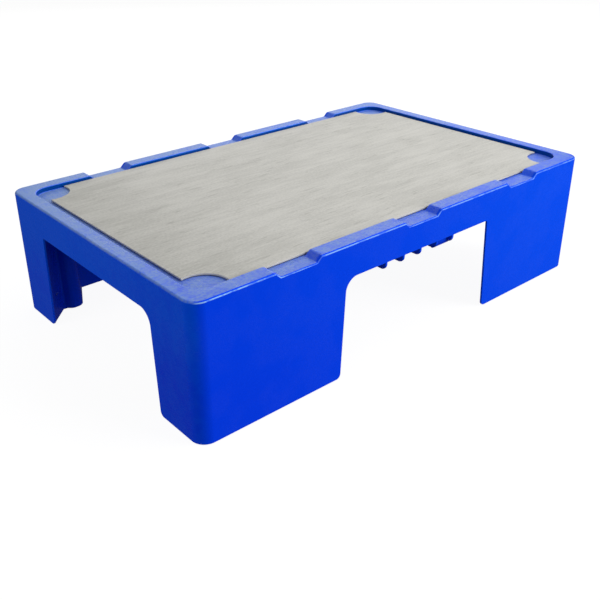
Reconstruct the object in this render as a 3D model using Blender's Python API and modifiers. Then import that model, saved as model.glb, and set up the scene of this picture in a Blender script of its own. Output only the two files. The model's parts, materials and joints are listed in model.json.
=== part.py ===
"""Low dog training platform.

A one-piece moulded deck stands on four hollow legs that belong to the same moulding. A grey traction mat
lies in the deck's recess and lifts out at its scalloped corners. The origin is on the floor, midway between
the legs, with +X along the platform's length and +Z up.
"""

import math

import bmesh
import bpy
from mathutils import Vector

MM = 0.001

# Overall sizes, measured at the foot of the leaning walls
LENGTH = 914 * MM
WIDTH = 572 * MM
HEIGHT = 233 * MM
DRAFT = math.radians(0.7)
WALL = 4 * MM
CORNER_RADIUS = 24 * MM
RIM_EDGE_RADIUS = 4 * MM
FLOOR_GAP = 1.5 * MM

# Recess that holds the mat
SIDE_RIM_WIDTH = 29 * MM
END_RIM_WIDTH = 25 * MM
RECESS_DEPTH = 9 * MM
RECESS_CORNER_RADIUS = 30 * MM

# Notches in the rim of both long sides
NOTCH_SPACING = 268 * MM
NOTCH_COUNT = 3
NOTCH_TOP_WIDTH = 88 * MM
NOTCH_FLOOR_WIDTH = 68.5 * MM

# Openings between the legs
SIDE_OPENING_WIDTH = 345 * MM
END_OPENING_WIDTH = 341 * MM
OPENING_HEIGHT = 176.5 * MM
SIDE_JAMB_LEAN = 0.062
END_JAMB_LEAN = 0.052
SIDE_SOFT_RADIUS = 24 * MM
END_SOFT_RADIUS = 24 * MM
TIGHT_RADIUS = 4 * MM
FOOT_CORNER_RADIUS = 9 * MM

# Ribs under the deck
RIB_COUNT = 5
RIB_PITCH = 41 * MM
RIB_THICKNESS = 6 * MM
RIB_EDGE_RADIUS = 2.4 * MM
RIB_END_RADIUS = 10 * MM
LONG_RIB_END_RADIUS = 24 * MM
RIB_DROP = 15.5 * MM
TIE_WEB_SETBACK = 11 * MM
TIE_WEB_DROP = 13.5 * MM
THIN_RIB_THICKNESS = 3 * MM

# Lug on the web inside each leg
LUG_LENGTH = 12 * MM
LUG_REACH = 2.5 * MM
LUG_THICKNESS = 3 * MM
LUG_LEVEL = 50 * MM

# Rubber foot, its boss and its screw
FOOT_INSET_X = 48 * MM
FOOT_INSET_Y = 38 * MM
FOOT_RADIUS = 23 * MM
FOOT_THICKNESS = 9.7 * MM
BOSS_RADIUS = 9 * MM
SCREW_RADIUS = 2.5 * MM
SCREW_LENGTH = 25 * MM
SCREW_HEAD_RADIUS = 5.5 * MM
SCREW_HEAD_HEIGHT = 3.5 * MM
SCREW_POINT = 3 * MM
SCREW_HEAD_CHAMFER = 1.2 * MM
PILOT_SPARE = 9 * MM
DRIVE_LENGTH = 6 * MM
DRIVE_WIDTH = 1.2 * MM
DRIVE_DEPTH = 2 * MM
COUNTERBORE_RADIUS = 8 * MM
COUNTERBORE_DEPTH = 6.8 * MM
FOOT_EDGE = 1 * MM

# Fluted web that closes each leg's corner into a post round the foot, as (along the length, along the
# width, radius) from the foot of the leg's outer corner: from the end wall's jamb to the long wall
END_LEG_WIDTH = (WIDTH - END_OPENING_WIDTH) / 2 - END_JAMB_LEAN * (OPENING_HEIGHT - FLOOR_GAP)
WEB_PAST_JAMB = 1.6 * MM
WEB_BEND = FOOT_INSET_Y + FOOT_RADIUS + 6 * MM
FLUTE_DEPTH = 12 * MM
WEB_CLEARANCE = 6 * MM
WEB_LANDING = FOOT_INSET_X + FOOT_RADIUS + 37.6 * MM
POST_WEB = (
    (0 * MM, END_LEG_WIDTH + WEB_PAST_JAMB, 0 * MM),
    (39 * MM, WEB_BEND, 6 * MM),
    (52.5 * MM, WEB_BEND + FLUTE_DEPTH, 10 * MM),
    (70.5 * MM, WEB_BEND + FLUTE_DEPTH, 14 * MM),
    (WEB_LANDING, 0 * MM, 0 * MM),
)
POST_WEB_THICKNESS = 3.5 * MM

# Traction mat, which lies a little off the middle, and the hook-and-loop pads that hold it down
MAT_THICKNESS = 3 * MM
MAT_SIDE_CLEARANCE = 3 * MM
MAT_END_CLEARANCE = 9.4 * MM
MAT_OFFSET = 4.2 * MM
MAT_RAISE = 1 * MM
SCALLOP_RADIUS = 39.5 * MM
SCALLOP_INSET = 10.6 * MM
PAD_LENGTH = 100 * MM
PAD_WIDTH = 40 * MM
PAD_THICKNESS = 0.8 * MM
PAD_CORNER_RADIUS = 6 * MM
PAD_MARGIN = 0.5 * MM
PAD_INSET_X = 135 * MM
PAD_INSET_Y = 105 * MM

# Gap kept between two pieces that touch
SEAT_GAP = 0.3 * MM

# Levels that follow from the sizes above
DECK_TOP = HEIGHT - RECESS_DEPTH
RIB_BOTTOM = OPENING_HEIGHT - RIB_DROP
MAT_BOTTOM = DECK_TOP + MAT_RAISE
LOOP_BOTTOM = MAT_BOTTOM - SEAT_GAP - PAD_THICKNESS
HOOK_BOTTOM = LOOP_BOTTOM - SEAT_GAP - PAD_THICKNESS
POCKET_FLOOR = HOOK_BOTTOM - SEAT_GAP
BOSS_BOTTOM = FOOT_THICKNESS + SEAT_GAP
SCREW_SEAT = COUNTERBORE_DEPTH - SEAT_GAP
SCREW_HOLE_RADIUS = SCREW_RADIUS + SEAT_GAP

# How far a cutter runs past what it cuts
OVERRUN = 12 * MM

# Facets of the rounded shapes: a corner's arc, an edge's arc, and whole circles
ARC_SEGMENTS = 6
EDGE_SEGMENTS = 3
DISC_SEGMENTS = 64
FOOT_SEGMENTS = 32
BOSS_SEGMENTS = 24
SCREW_SEGMENTS = 16

LEG_CORNERS = {
    "near_left": (-1, -1),
    "near_right": (1, -1),
    "far_left": (-1, 1),
    "far_right": (1, 1),
}


def clear_scene():
    """Removes whatever the scene holds, so that the platform is built alone."""
    for obj in list(bpy.data.objects):
        bpy.data.objects.remove(obj, do_unlink=True)


def new_collection(name):
    """Returns a new collection in the scene."""
    collection = bpy.data.collections.new(name)
    bpy.context.scene.collection.children.link(collection)
    return collection


def new_material(name, colour, roughness, metallic=0.0):
    """Returns a Principled material."""
    material = bpy.data.materials.new(name)
    material.use_nodes = True
    shader = material.node_tree.nodes["Principled BSDF"]
    shader.inputs["Base Color"].default_value = (*colour, 1.0)
    shader.inputs["Roughness"].default_value = roughness
    shader.inputs["Metallic"].default_value = metallic
    return material


def mesh_object(name, bm, collection, material=None):
    """Turns a bmesh into an object of the collection."""
    bmesh.ops.recalc_face_normals(bm, faces=bm.faces[:])
    mesh = bpy.data.meshes.new(name)
    bm.to_mesh(mesh)
    bm.free()
    obj = bpy.data.objects.new(name, mesh)
    collection.objects.link(obj)
    if material:
        mesh.materials.append(material)
    return obj


def as_cutter(obj):
    """Marks an object as a tool that only shapes others."""
    obj.hide_render = True
    obj.display_type = "WIRE"
    return obj


def add_boolean(obj, operation, tool, crossing=False):
    """Cuts, joins or trims obj with the tool; crossing is for a tool whose own shapes overlap."""
    modifier = obj.modifiers.new(f"{operation.lower()} {tool.name}", "BOOLEAN")
    modifier.operation = operation
    modifier.object = tool
    modifier.solver = "EXACT"
    modifier.use_self = crossing


def outer_half(height):
    """Half length and half width of the leaning outer walls at a height above the floor."""
    lean = height * math.tan(DRAFT)
    return LENGTH / 2 - lean, WIDTH / 2 - lean


def add_box(bm, low, high):
    """Adds a box between two corners to the bmesh and returns its vertices."""
    low, high = Vector(low), Vector(high)
    verts = bmesh.ops.create_cube(bm, size=1.0)["verts"]
    bmesh.ops.scale(bm, vec=high - low, verts=verts)
    bmesh.ops.translate(bm, vec=(low + high) / 2, verts=verts)
    return verts


def edges_along(verts, axis):
    """The edges among these vertices that run mostly along one axis."""
    edges = {edge for vert in verts for edge in vert.link_edges}
    chosen = []
    for edge in edges:
        run = edge.verts[1].co - edge.verts[0].co
        if abs(run[axis]) > 0.9 * run.length:
            chosen.append(edge)
    return chosen


def bevel_edges(bm, edges, radius, segments=ARC_SEGMENTS):
    """Rounds these edges."""
    bmesh.ops.bevel(
        bm, geom=edges, offset=radius, offset_type="OFFSET", segments=segments, profile=0.5, affect="EDGES"
    )


def move_into(bm, other):
    """Moves what another bmesh holds into this one, with its faces turned outwards."""
    bmesh.ops.recalc_face_normals(other, faces=other.faces[:])
    mesh = bpy.data.meshes.new("moved")
    other.to_mesh(mesh)
    other.free()
    bm.from_mesh(mesh)
    bpy.data.meshes.remove(mesh)


def drafted_block(low, high, inset):
    """A bmesh block whose four walls lean like the platform's, set inwards from them by inset."""
    bm = bmesh.new()
    verts = add_box(bm, (-1, -1, low), (1, 1, high))
    for vert in verts:
        half_x, half_y = outer_half(vert.co.z)
        vert.co.x *= half_x - inset
        vert.co.y *= half_y - inset
    bevel_edges(bm, edges_along(verts, 2), CORNER_RADIUS - inset)
    return bm


def rounded_box(bm, low, high, radius, segments=ARC_SEGMENTS):
    """Adds a box with rounded upright edges to the bmesh."""
    verts = add_box(bm, low, high)
    bevel_edges(bm, edges_along(verts, 2), radius, segments)


def recess_half():
    """Half length and half width of the mat's recess."""
    half_x, half_y = outer_half(HEIGHT)
    return half_x - END_RIM_WIDTH, half_y - SIDE_RIM_WIDTH


def recess_tool(name, collection, grow=0.0):
    """The block that hollows the recess; grow gives the same form one wall further out."""
    half_x, half_y = recess_half()
    bm = bmesh.new()
    rounded_box(
        bm,
        (-half_x - grow, -half_y - grow, DECK_TOP - grow),
        (half_x + grow, half_y + grow, HEIGHT + OVERRUN),
        RECESS_CORNER_RADIUS + grow,
    )
    return as_cutter(mesh_object(name, bm, collection))


def notch_centres():
    """Where the notches lie along the long sides."""
    middle = (NOTCH_COUNT - 1) / 2
    return [(index - middle) * NOTCH_SPACING for index in range(NOTCH_COUNT)]


def notch_tool(name, collection, grow=0.0):
    """Prisms with sloping ends that notch the rim of both long sides, as deep as the recess."""
    run = (NOTCH_TOP_WIDTH - NOTCH_FLOOR_WIDTH) / 2 / RECESS_DEPTH
    slope_grow = grow * (math.sqrt(1 + run * run) - run)
    inner_y = recess_half()[1] - OVERRUN
    outer_y = WIDTH / 2 + OVERRUN
    floor = DECK_TOP - grow
    bm = bmesh.new()
    for centre in notch_centres():
        for side in (-1, 1):
            low_y, high_y = sorted((side * inner_y, side * outer_y))
            verts = add_box(bm, (-1, low_y, floor), (1, high_y, HEIGHT + OVERRUN))
            for vert in verts:
                half = NOTCH_FLOOR_WIDTH / 2 + slope_grow + run * (vert.co.z - floor)
                vert.co.x = centre + vert.co.x * half
    return as_cutter(mesh_object(name, bm, collection))


def inner_form(name, collection, depth):
    """The form that lies a depth inside every outer surface, open below: the hollow or the trim."""
    bm = drafted_block(-OVERRUN, HEIGHT - depth, depth)
    form = as_cutter(mesh_object(name, bm, collection))
    add_boolean(form, "DIFFERENCE", recess_tool(f"{name}_recess", collection, depth))
    add_boolean(form, "DIFFERENCE", notch_tool(f"{name}_notches", collection, depth))
    return form


def rounded_outline(corners):
    """The points of an open or closed flat path whose corners, each (x, y, radius), are rounded by arcs."""
    points = []
    count = len(corners)
    for index, (x, y, radius) in enumerate(corners):
        here = Vector((x, y))
        if radius == 0:
            points.append(here)
            continue
        before = (Vector(corners[index - 1][:2]) - here).normalized()
        after = (Vector(corners[(index + 1) % count][:2]) - here).normalized()
        half_angle = before.angle(after) / 2
        centre = here + (before + after).normalized() * radius / math.sin(half_angle)
        start = here + before * radius / math.tan(half_angle) - centre
        end = here + after * radius / math.tan(half_angle) - centre
        sweep = start.angle_signed(end)
        for step in range(ARC_SEGMENTS + 1):
            turn = -sweep * step / ARC_SEGMENTS
            cos, sin = math.cos(turn), math.sin(turn)
            points.append(centre + Vector((start.x * cos - start.y * sin, start.x * sin + start.y * cos)))
    return points


def curve_mesh(name, points, closed, half_depth):
    """A bmesh of a flat curve given depth: a filled plate if closed, else a ribbon standing on edge."""
    curve = bpy.data.curves.new(name, "CURVE")
    curve.dimensions = "2D"
    curve.fill_mode = "BOTH" if closed else "NONE"
    curve.extrude = half_depth
    spline = curve.splines.new("POLY")
    spline.points.add(len(points) - 1)
    for target, point in zip(spline.points, points):
        target.co = (point.x, point.y, 0, 1)
    spline.use_cyclic_u = closed
    guide = bpy.data.objects.new(name, curve)
    bpy.context.scene.collection.objects.link(guide)
    mesh = bpy.data.meshes.new_from_object(guide.evaluated_get(bpy.context.evaluated_depsgraph_get()))
    bpy.data.objects.remove(guide, do_unlink=True)
    bm = bmesh.new()
    bm.from_mesh(mesh)
    bpy.data.meshes.remove(mesh)
    bmesh.ops.remove_doubles(bm, verts=bm.verts[:], dist=0.01 * MM)
    return bm


def opening_outline(width, lean, left_radius, right_radius):
    """Outline of the opening between two legs, with the legs' foot corners rounded."""
    top = width / 2
    foot = top + lean * (OPENING_HEIGHT - FLOOR_GAP)
    past = foot + 1.2 * FOOT_CORNER_RADIUS
    return rounded_outline(
        (
            (-past, -OVERRUN, 0),
            (-past, FLOOR_GAP, 0),
            (-foot, FLOOR_GAP, FOOT_CORNER_RADIUS),
            (-top, OPENING_HEIGHT, left_radius),
            (top, OPENING_HEIGHT, right_radius),
            (foot, FLOOR_GAP, FOOT_CORNER_RADIUS),
            (past, FLOOR_GAP, 0),
            (past, -OVERRUN, 0),
        )
    )


def stand_outline(bm, along_x, toward):
    """Stands a flat plate upright in a wall: its face turns to look along X or Y at the wall's place."""
    for vert in bm.verts:
        across, up, through = vert.co
        vert.co = (toward + through, across, up) if along_x else (across, toward + through, up)


def opening_tools(collection):
    """The four cutters that open the walls between the legs."""
    reach = WALL + OVERRUN + HEIGHT * math.tan(DRAFT)
    side = (SIDE_OPENING_WIDTH, SIDE_JAMB_LEAN)
    end = (END_OPENING_WIDTH, END_JAMB_LEAN)
    places = {
        "near_opening": (opening_outline(*side, SIDE_SOFT_RADIUS, TIGHT_RADIUS), False, -WIDTH / 2),
        "far_opening": (opening_outline(*side, TIGHT_RADIUS, SIDE_SOFT_RADIUS), False, WIDTH / 2),
        "left_opening": (opening_outline(*end, END_SOFT_RADIUS, TIGHT_RADIUS), True, -LENGTH / 2),
        "right_opening": (opening_outline(*end, TIGHT_RADIUS, END_SOFT_RADIUS), True, LENGTH / 2),
    }
    tools = []
    for name, (outline, along_x, toward) in places.items():
        bm = curve_mesh(name, outline, True, reach)
        stand_outline(bm, along_x, toward)
        tools.append(as_cutter(mesh_object(name, bm, collection)))
    return tools


def rib_places():
    """Where the ribs lie, measured from the platform's middle."""
    middle = (RIB_COUNT - 1) / 2
    return [(index - middle) * RIB_PITCH for index in range(RIB_COUNT)]


def is_lower_edge(edge, axis, end_radius):
    """Whether an edge borders one side of a rib and lies no higher than the rib's rounded ends."""
    first, second = (vert.co for vert in edge.verts)
    rounded_up_to = RIB_BOTTOM + end_radius + SEAT_GAP
    return abs(first[axis] - second[axis]) < SEAT_GAP and max(first.z, second.z) < rounded_up_to


def add_ribs(bm):
    """Ribs under the deck along and across it, rounded down to their lower edges at both ends."""
    half = RIB_THICKNESS / 2
    half_x, half_y = outer_half(HEIGHT)
    for place in rib_places():
        for axis, outer, end_radius in ((0, half_y, RIB_END_RADIUS), (1, half_x, LONG_RIB_END_RADIUS)):
            reach = outer - WALL / 2
            low, high = [-reach, -reach, RIB_BOTTOM], [reach, reach, HEIGHT]
            low[axis], high[axis] = place - half, place + half
            rib = bmesh.new()
            verts = add_box(rib, low, high)
            ends = [edge for edge in edges_along(verts, axis) if edge.verts[0].co.z < OPENING_HEIGHT]
            bevel_edges(rib, ends, end_radius)
            lower = [edge for edge in rib.edges if is_lower_edge(edge, axis, end_radius)]
            bevel_edges(rib, lower, RIB_EDGE_RADIUS, EDGE_SEGMENTS)
            move_into(bm, rib)


def add_tie_webs(bm):
    """A short web just inside each long side that ties the last two ribs together."""
    first, second = rib_places()[-2:]
    setback = outer_half(OPENING_HEIGHT)[1] - WALL - TIE_WEB_SETBACK
    for side in (-1, 1):
        start, end = sorted((-side * first, -side * second))
        low_y, high_y = sorted((side * setback, side * (setback + THIN_RIB_THICKNESS)))
        add_box(bm, (start, low_y, OPENING_HEIGHT - TIE_WEB_DROP), (end, high_y, HEIGHT))


def leg_place(corner, along, across):
    """A point of a leg, given from the foot of its outer corner, in the platform's frame."""
    side_x, side_y = corner
    return side_x * (LENGTH / 2 - along), side_y * (WIDTH / 2 - across)


def post_web_at(place, axis):
    """How far from the leg's corner the post web lies, at a place along (axis 0) or across (axis 1)."""
    crossings = []
    for start, end in zip(POST_WEB, POST_WEB[1:]):
        run = end[axis] - start[axis]
        if run and 0 <= (place - start[axis]) / run <= 1:
            share = (place - start[axis]) / run
            crossings.append(start[1 - axis] + share * (end[1 - axis] - start[1 - axis]))
    return max(crossings)


def thick_outline(path, thickness):
    """The closed outline of an open flat path that is given an even thickness."""
    sides = []
    for index, point in enumerate(path):
        before = point - path[max(index - 1, 0)]
        after = path[min(index + 1, len(path) - 1)] - point
        runs = [run.normalized() for run in (before, after) if run.length > 0]
        normal = sum((Vector((-run.y, run.x)) for run in runs), Vector((0, 0))).normalized()
        mitre = normal.dot(Vector((-runs[0].y, runs[0].x)))
        sides.append(normal * thickness / 2 / mitre)
    left = [point + side for point, side in zip(path, sides)]
    right = [point - side for point, side in zip(path, sides)]
    return left + right[::-1]


def add_post_web(bm, corner):
    """The fluted web of one leg, from a little above the leg's foot up into the deck."""
    path = [Vector(leg_place(corner, point.x, point.y)) for point in rounded_outline(POST_WEB)]
    low = FLOOR_GAP + WEB_CLEARANCE
    half_height = (HEIGHT - low) / 2
    web = curve_mesh("post_web", thick_outline(path, POST_WEB_THICKNESS), True, half_height)
    bmesh.ops.translate(web, vec=(0, 0, low + half_height), verts=web.verts[:])
    move_into(bm, web)


def add_lug(bm, corner):
    """The small lug on the first straight run of one leg's web, facing the platform's middle."""
    start, end = (Vector(leg_place(corner, *point[:2])) for point in POST_WEB[:2])
    centre = (start + end) / 2
    along = (end - start).normalized()
    out = Vector((-along.y, along.x))
    if out.dot(centre) > 0:
        out = -out
    half, reach = LUG_LENGTH / 2, POST_WEB_THICKNESS / 2 + LUG_REACH
    for vert in add_box(bm, (-half, 0, LUG_LEVEL), (half, reach, LUG_LEVEL + LUG_THICKNESS)):
        place = centre + along * vert.co.x + out * vert.co.y
        vert.co = (*place, vert.co.z)


def foot_centre(corner):
    """The axis of one leg's rubber foot and screw, on the floor."""
    return Vector((*leg_place(corner, FOOT_INSET_X, FOOT_INSET_Y), 0))


def add_leg_inside(bm, corner):
    """Boss for the foot's screw and the two ribs that hold it between the walls and the web of one leg."""
    centre = foot_centre(corner)
    boss = bmesh.ops.create_cone(
        bm,
        cap_ends=True,
        segments=BOSS_SEGMENTS,
        radius1=BOSS_RADIUS,
        radius2=BOSS_RADIUS,
        depth=HEIGHT - BOSS_BOTTOM,
    )
    bmesh.ops.translate(bm, vec=centre + Vector((0, 0, (HEIGHT + BOSS_BOTTOM) / 2)), verts=boss["verts"])
    half = THIN_RIB_THICKNESS / 2
    wall_x, wall_y = leg_place(corner, 0, 0)
    web_x, web_y = leg_place(corner, post_web_at(FOOT_INSET_Y, 1), post_web_at(FOOT_INSET_X, 0))
    low_x, high_x = sorted((wall_x, web_x))
    low_y, high_y = sorted((wall_y, web_y))
    add_box(bm, (low_x, centre.y - half, BOSS_BOTTOM), (high_x, centre.y + half, HEIGHT))
    add_box(bm, (centre.x - half, low_y, BOSS_BOTTOM), (centre.x + half, high_y, HEIGHT))


def build_inside(collection):
    """Everything that stands inside the shell, trimmed to the middle of the shell's wall."""
    bm = bmesh.new()
    add_ribs(bm)
    add_tie_webs(bm)
    for corner in LEG_CORNERS.values():
        add_post_web(bm, corner)
        add_lug(bm, corner)
        add_leg_inside(bm, corner)
    inside = as_cutter(mesh_object("inside", bm, collection))
    add_boolean(inside, "INTERSECT", inner_form("trim", collection, WALL / 2), crossing=True)
    return inside


def pilot_tool(collection):
    """Holes up the bosses that take the screws of the feet."""
    top = SCREW_SEAT + SCREW_LENGTH + PILOT_SPARE
    bm = bmesh.new()
    for corner in LEG_CORNERS.values():
        hole = bmesh.ops.create_cone(
            bm,
            cap_ends=True,
            segments=SCREW_SEGMENTS,
            radius1=SCREW_HOLE_RADIUS,
            radius2=SCREW_HOLE_RADIUS,
            depth=top,
        )
        bmesh.ops.translate(bm, vec=foot_centre(corner) + Vector((0, 0, top / 2)), verts=hole["verts"])
    return as_cutter(mesh_object("pilot_holes", bm, collection))


def pad_place(corner):
    """The middle of one hook-and-loop pad, seen from above."""
    half_x, half_y = recess_half()
    return corner[0] * (half_x - PAD_INSET_X), corner[1] * (half_y - PAD_INSET_Y)


def add_pad(bm, corner, low, high, margin=0.0):
    """Adds a pad with rounded corners between two levels; margin widens it for its pocket."""
    x, y = pad_place(corner)
    half_x, half_y = PAD_LENGTH / 2 + margin, PAD_WIDTH / 2 + margin
    radius = PAD_CORNER_RADIUS + margin
    rounded_box(bm, (x - half_x, y - half_y, low), (x + half_x, y + half_y, high), radius)


def pocket_tool(collection):
    """Shallow pockets in the deck's floor for the hook pads."""
    bm = bmesh.new()
    for corner in LEG_CORNERS.values():
        add_pad(bm, corner, POCKET_FLOOR, DECK_TOP + RECESS_DEPTH, PAD_MARGIN)
    return as_cutter(mesh_object("pad_pockets", bm, collection))


def build_platform(parts, cutters, material):
    """The one-piece moulding: deck, rim, skirt and legs as one shell, with its ribs."""
    bm = drafted_block(FLOOR_GAP, HEIGHT, 0)
    rim = [edge for edge in bm.edges if min(vert.co.z for vert in edge.verts) > HEIGHT - SEAT_GAP]
    bevel_edges(bm, rim, RIM_EDGE_RADIUS, EDGE_SEGMENTS)
    platform = mesh_object("platform_body", bm, parts, material)
    add_boolean(platform, "DIFFERENCE", recess_tool("recess", cutters))
    add_boolean(platform, "DIFFERENCE", notch_tool("notches", cutters))
    add_boolean(platform, "DIFFERENCE", inner_form("hollow", cutters, WALL))
    for tool in opening_tools(cutters):
        add_boolean(platform, "DIFFERENCE", tool)
    add_boolean(platform, "UNION", build_inside(cutters))
    add_boolean(platform, "DIFFERENCE", pilot_tool(cutters))
    add_boolean(platform, "DIFFERENCE", pocket_tool(cutters))


def build_mat(parts, cutters, material, lift):
    """The traction mat, with a round scallop at each corner for the fingers."""
    recess_x, recess_y = recess_half()
    half_x, half_y = recess_x - MAT_END_CLEARANCE, recess_y - MAT_SIDE_CLEARANCE
    bm = bmesh.new()
    add_box(bm, (MAT_OFFSET - half_x, -half_y, 0), (MAT_OFFSET + half_x, half_y, MAT_THICKNESS))
    mat = mesh_object("traction_mat", bm, parts, material)
    mat.parent = lift
    bm = bmesh.new()
    for side_x, side_y in LEG_CORNERS.values():
        disc = bmesh.ops.create_cone(
            bm,
            cap_ends=True,
            segments=DISC_SEGMENTS,
            radius1=SCALLOP_RADIUS,
            radius2=SCALLOP_RADIUS,
            depth=2 * (MAT_THICKNESS + OVERRUN),
        )
        across_x, across_y = side_x * (half_x - SCALLOP_INSET), side_y * (half_y - SCALLOP_INSET)
        bmesh.ops.translate(bm, vec=(MAT_OFFSET + across_x, across_y, MAT_BOTTOM), verts=disc["verts"])
    add_boolean(mat, "DIFFERENCE", as_cutter(mesh_object("scallops", bm, cutters)))


def build_pads(parts, hook_material, loop_material, lift):
    """Hook pads stuck in the deck's pockets, and the loop pads above them stuck under the mat."""
    for place, corner in LEG_CORNERS.items():
        bm = bmesh.new()
        add_pad(bm, corner, HOOK_BOTTOM, HOOK_BOTTOM + PAD_THICKNESS)
        mesh_object(f"hook_pad_{place}", bm, parts, hook_material)
        bm = bmesh.new()
        add_pad(bm, corner, LOOP_BOTTOM - MAT_BOTTOM, LOOP_BOTTOM - MAT_BOTTOM + PAD_THICKNESS)
        mesh_object(f"loop_pad_{place}", bm, parts, loop_material).parent = lift


def turned_object(name, profile, closed, steps, collection, material):
    """An object turned about its own Z axis from a profile of (radius, height) points at +X."""
    bm = bmesh.new()
    verts = [bm.verts.new((radius, 0, height)) for radius, height in profile]
    for first, second in zip(verts, verts[1:] + verts[:1] if closed else verts[1:]):
        bm.edges.new((first, second))
    mesh = bpy.data.meshes.new(name)
    bm.to_mesh(mesh)
    bm.free()
    mesh.materials.append(material)
    obj = bpy.data.objects.new(name, mesh)
    collection.objects.link(obj)
    screw = obj.modifiers.new("turn", "SCREW")
    screw.axis = "Z"
    screw.angle = math.tau
    screw.steps = screw.render_steps = steps
    screw.use_smooth_shade = True
    screw.use_merge_vertices = True
    screw.merge_threshold = 0.00001
    screw.use_normal_calculate = True
    return obj


def build_feet(parts, rubber):
    """Four rubber feet, each a turned disc with a counterbore for its screw."""
    outer, edge, bore = FOOT_RADIUS, FOOT_EDGE, COUNTERBORE_RADIUS
    profile = (
        (SCREW_HOLE_RADIUS, FOOT_THICKNESS),
        (outer - edge, FOOT_THICKNESS),
        (outer, FOOT_THICKNESS - edge),
        (outer, edge),
        (outer - edge, 0),
        (bore, 0),
        (bore, COUNTERBORE_DEPTH),
        (SCREW_HOLE_RADIUS, COUNTERBORE_DEPTH),
    )
    for place, corner in LEG_CORNERS.items():
        foot = turned_object(f"foot_{place}", profile, True, FOOT_SEGMENTS, parts, rubber)
        foot.location = foot_centre(corner)


def drive_tool(name, centre, level, collection):
    """The cross recess in a screw's head."""
    bm = bmesh.new()
    long, short = DRIVE_LENGTH / 2, DRIVE_WIDTH / 2
    low = level - DRIVE_DEPTH
    add_box(bm, (-long, -short, low), (long, short, level + DRIVE_DEPTH))
    add_box(bm, (-short, -long, low), (short, long, level + DRIVE_DEPTH))
    tool = as_cutter(mesh_object(name, bm, collection))
    tool.location = centre
    return tool


def build_screws(parts, cutters, steel):
    """Four pan-head screws that hold the feet to the bosses, heads down."""
    head_low = SCREW_SEAT - SCREW_HEAD_HEIGHT
    tip = SCREW_SEAT + SCREW_LENGTH
    profile = (
        (0, tip),
        (SCREW_RADIUS, tip - SCREW_POINT),
        (SCREW_RADIUS, SCREW_SEAT),
        (SCREW_HEAD_RADIUS, SCREW_SEAT),
        (SCREW_HEAD_RADIUS, head_low + SCREW_HEAD_CHAMFER),
        (SCREW_HEAD_RADIUS - SCREW_HEAD_CHAMFER, head_low),
        (0, head_low),
    )
    for place, corner in LEG_CORNERS.items():
        screw = turned_object(f"foot_screw_{place}", profile, False, SCREW_SEGMENTS, parts, steel)
        screw.location = foot_centre(corner)
        tool = drive_tool(f"drive_{place}", foot_centre(corner), head_low, cutters)
        add_boolean(screw, "DIFFERENCE", tool, crossing=True)


def main():
    """Builds every piece."""
    clear_scene()
    parts = new_collection("dog_training_platform")
    cutters = new_collection("cutters")
    blue = new_material("moulded_blue", (0.0, 0.075, 0.79), 0.42)
    grey = new_material("mat_grey", (0.54, 0.54, 0.5), 0.75)
    black = new_material("foot_rubber", (0.02, 0.02, 0.02), 0.8)
    hook = new_material("hook_fastener", (0.03, 0.03, 0.03), 0.9)
    loop = new_material("loop_fastener", (0.05, 0.05, 0.055), 1.0)
    steel = new_material("zinc_steel", (0.6, 0.6, 0.58), 0.3, 1.0)
    lift = bpy.data.objects.new("mat_lift", None)
    lift.location = (0, 0, MAT_BOTTOM)
    parts.objects.link(lift)
    build_platform(parts, cutters, blue)
    build_mat(parts, cutters, grey, lift)
    build_pads(parts, hook, loop, lift)
    build_feet(parts, black)
    build_screws(parts, cutters, steel)


main()
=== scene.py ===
"""Looks of a low dog training platform: a blue one-piece moulding on four hollow legs, and a grey mat.

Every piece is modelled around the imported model, in metres. The origin is on the floor between the
legs, with +X along the platform's length, towards the photo's right, and +Z up.
"""

import json
import logging
import math
from contextlib import contextmanager
from dataclasses import dataclass, field
from enum import Enum
from typing import Callable, Iterator, Optional, Sequence, Union

import bmesh
import bpy
from mathutils import Matrix, Vector


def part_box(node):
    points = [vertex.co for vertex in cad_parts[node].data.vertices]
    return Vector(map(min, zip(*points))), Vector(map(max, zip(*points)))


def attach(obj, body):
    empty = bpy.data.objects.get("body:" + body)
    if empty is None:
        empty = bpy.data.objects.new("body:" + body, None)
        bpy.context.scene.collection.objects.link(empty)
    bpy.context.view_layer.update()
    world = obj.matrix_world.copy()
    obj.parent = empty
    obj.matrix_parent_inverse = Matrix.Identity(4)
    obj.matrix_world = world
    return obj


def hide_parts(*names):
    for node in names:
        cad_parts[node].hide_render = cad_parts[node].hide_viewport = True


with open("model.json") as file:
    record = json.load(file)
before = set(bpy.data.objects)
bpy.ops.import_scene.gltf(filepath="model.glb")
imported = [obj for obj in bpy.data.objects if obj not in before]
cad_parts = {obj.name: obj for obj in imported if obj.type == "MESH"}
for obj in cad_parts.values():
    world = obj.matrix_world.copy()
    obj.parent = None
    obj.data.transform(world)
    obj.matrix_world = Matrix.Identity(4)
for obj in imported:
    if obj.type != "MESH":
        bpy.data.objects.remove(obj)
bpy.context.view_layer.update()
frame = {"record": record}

log = logging.getLogger("dog_training_platform")

MM = 0.001
TOUCH = 0.01 * MM
SEAT_GAP = 0.3 * MM
OVERRUN = 12 * MM
LEVEL = 0.99
MOSTLY = 0.9

Colour = tuple[float, float, float]
Point = tuple[float, float, float]


class Leg(Enum):
    """The four legs, by the signs of their place along X and Y."""

    NEAR_LEFT = (-1, -1)
    NEAR_RIGHT = (1, -1)
    FAR_LEFT = (-1, 1)
    FAR_RIGHT = (1, 1)

    @property
    def label(self) -> str:
        """The leg's name as the nodes spell it."""
        return self.name.lower()

    def place(self, x: float, y: float) -> Vector:
        """Takes a place in the far right quarter over to this leg's quarter."""
        return Vector((self.value[0] * x, self.value[1] * y))


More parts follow.
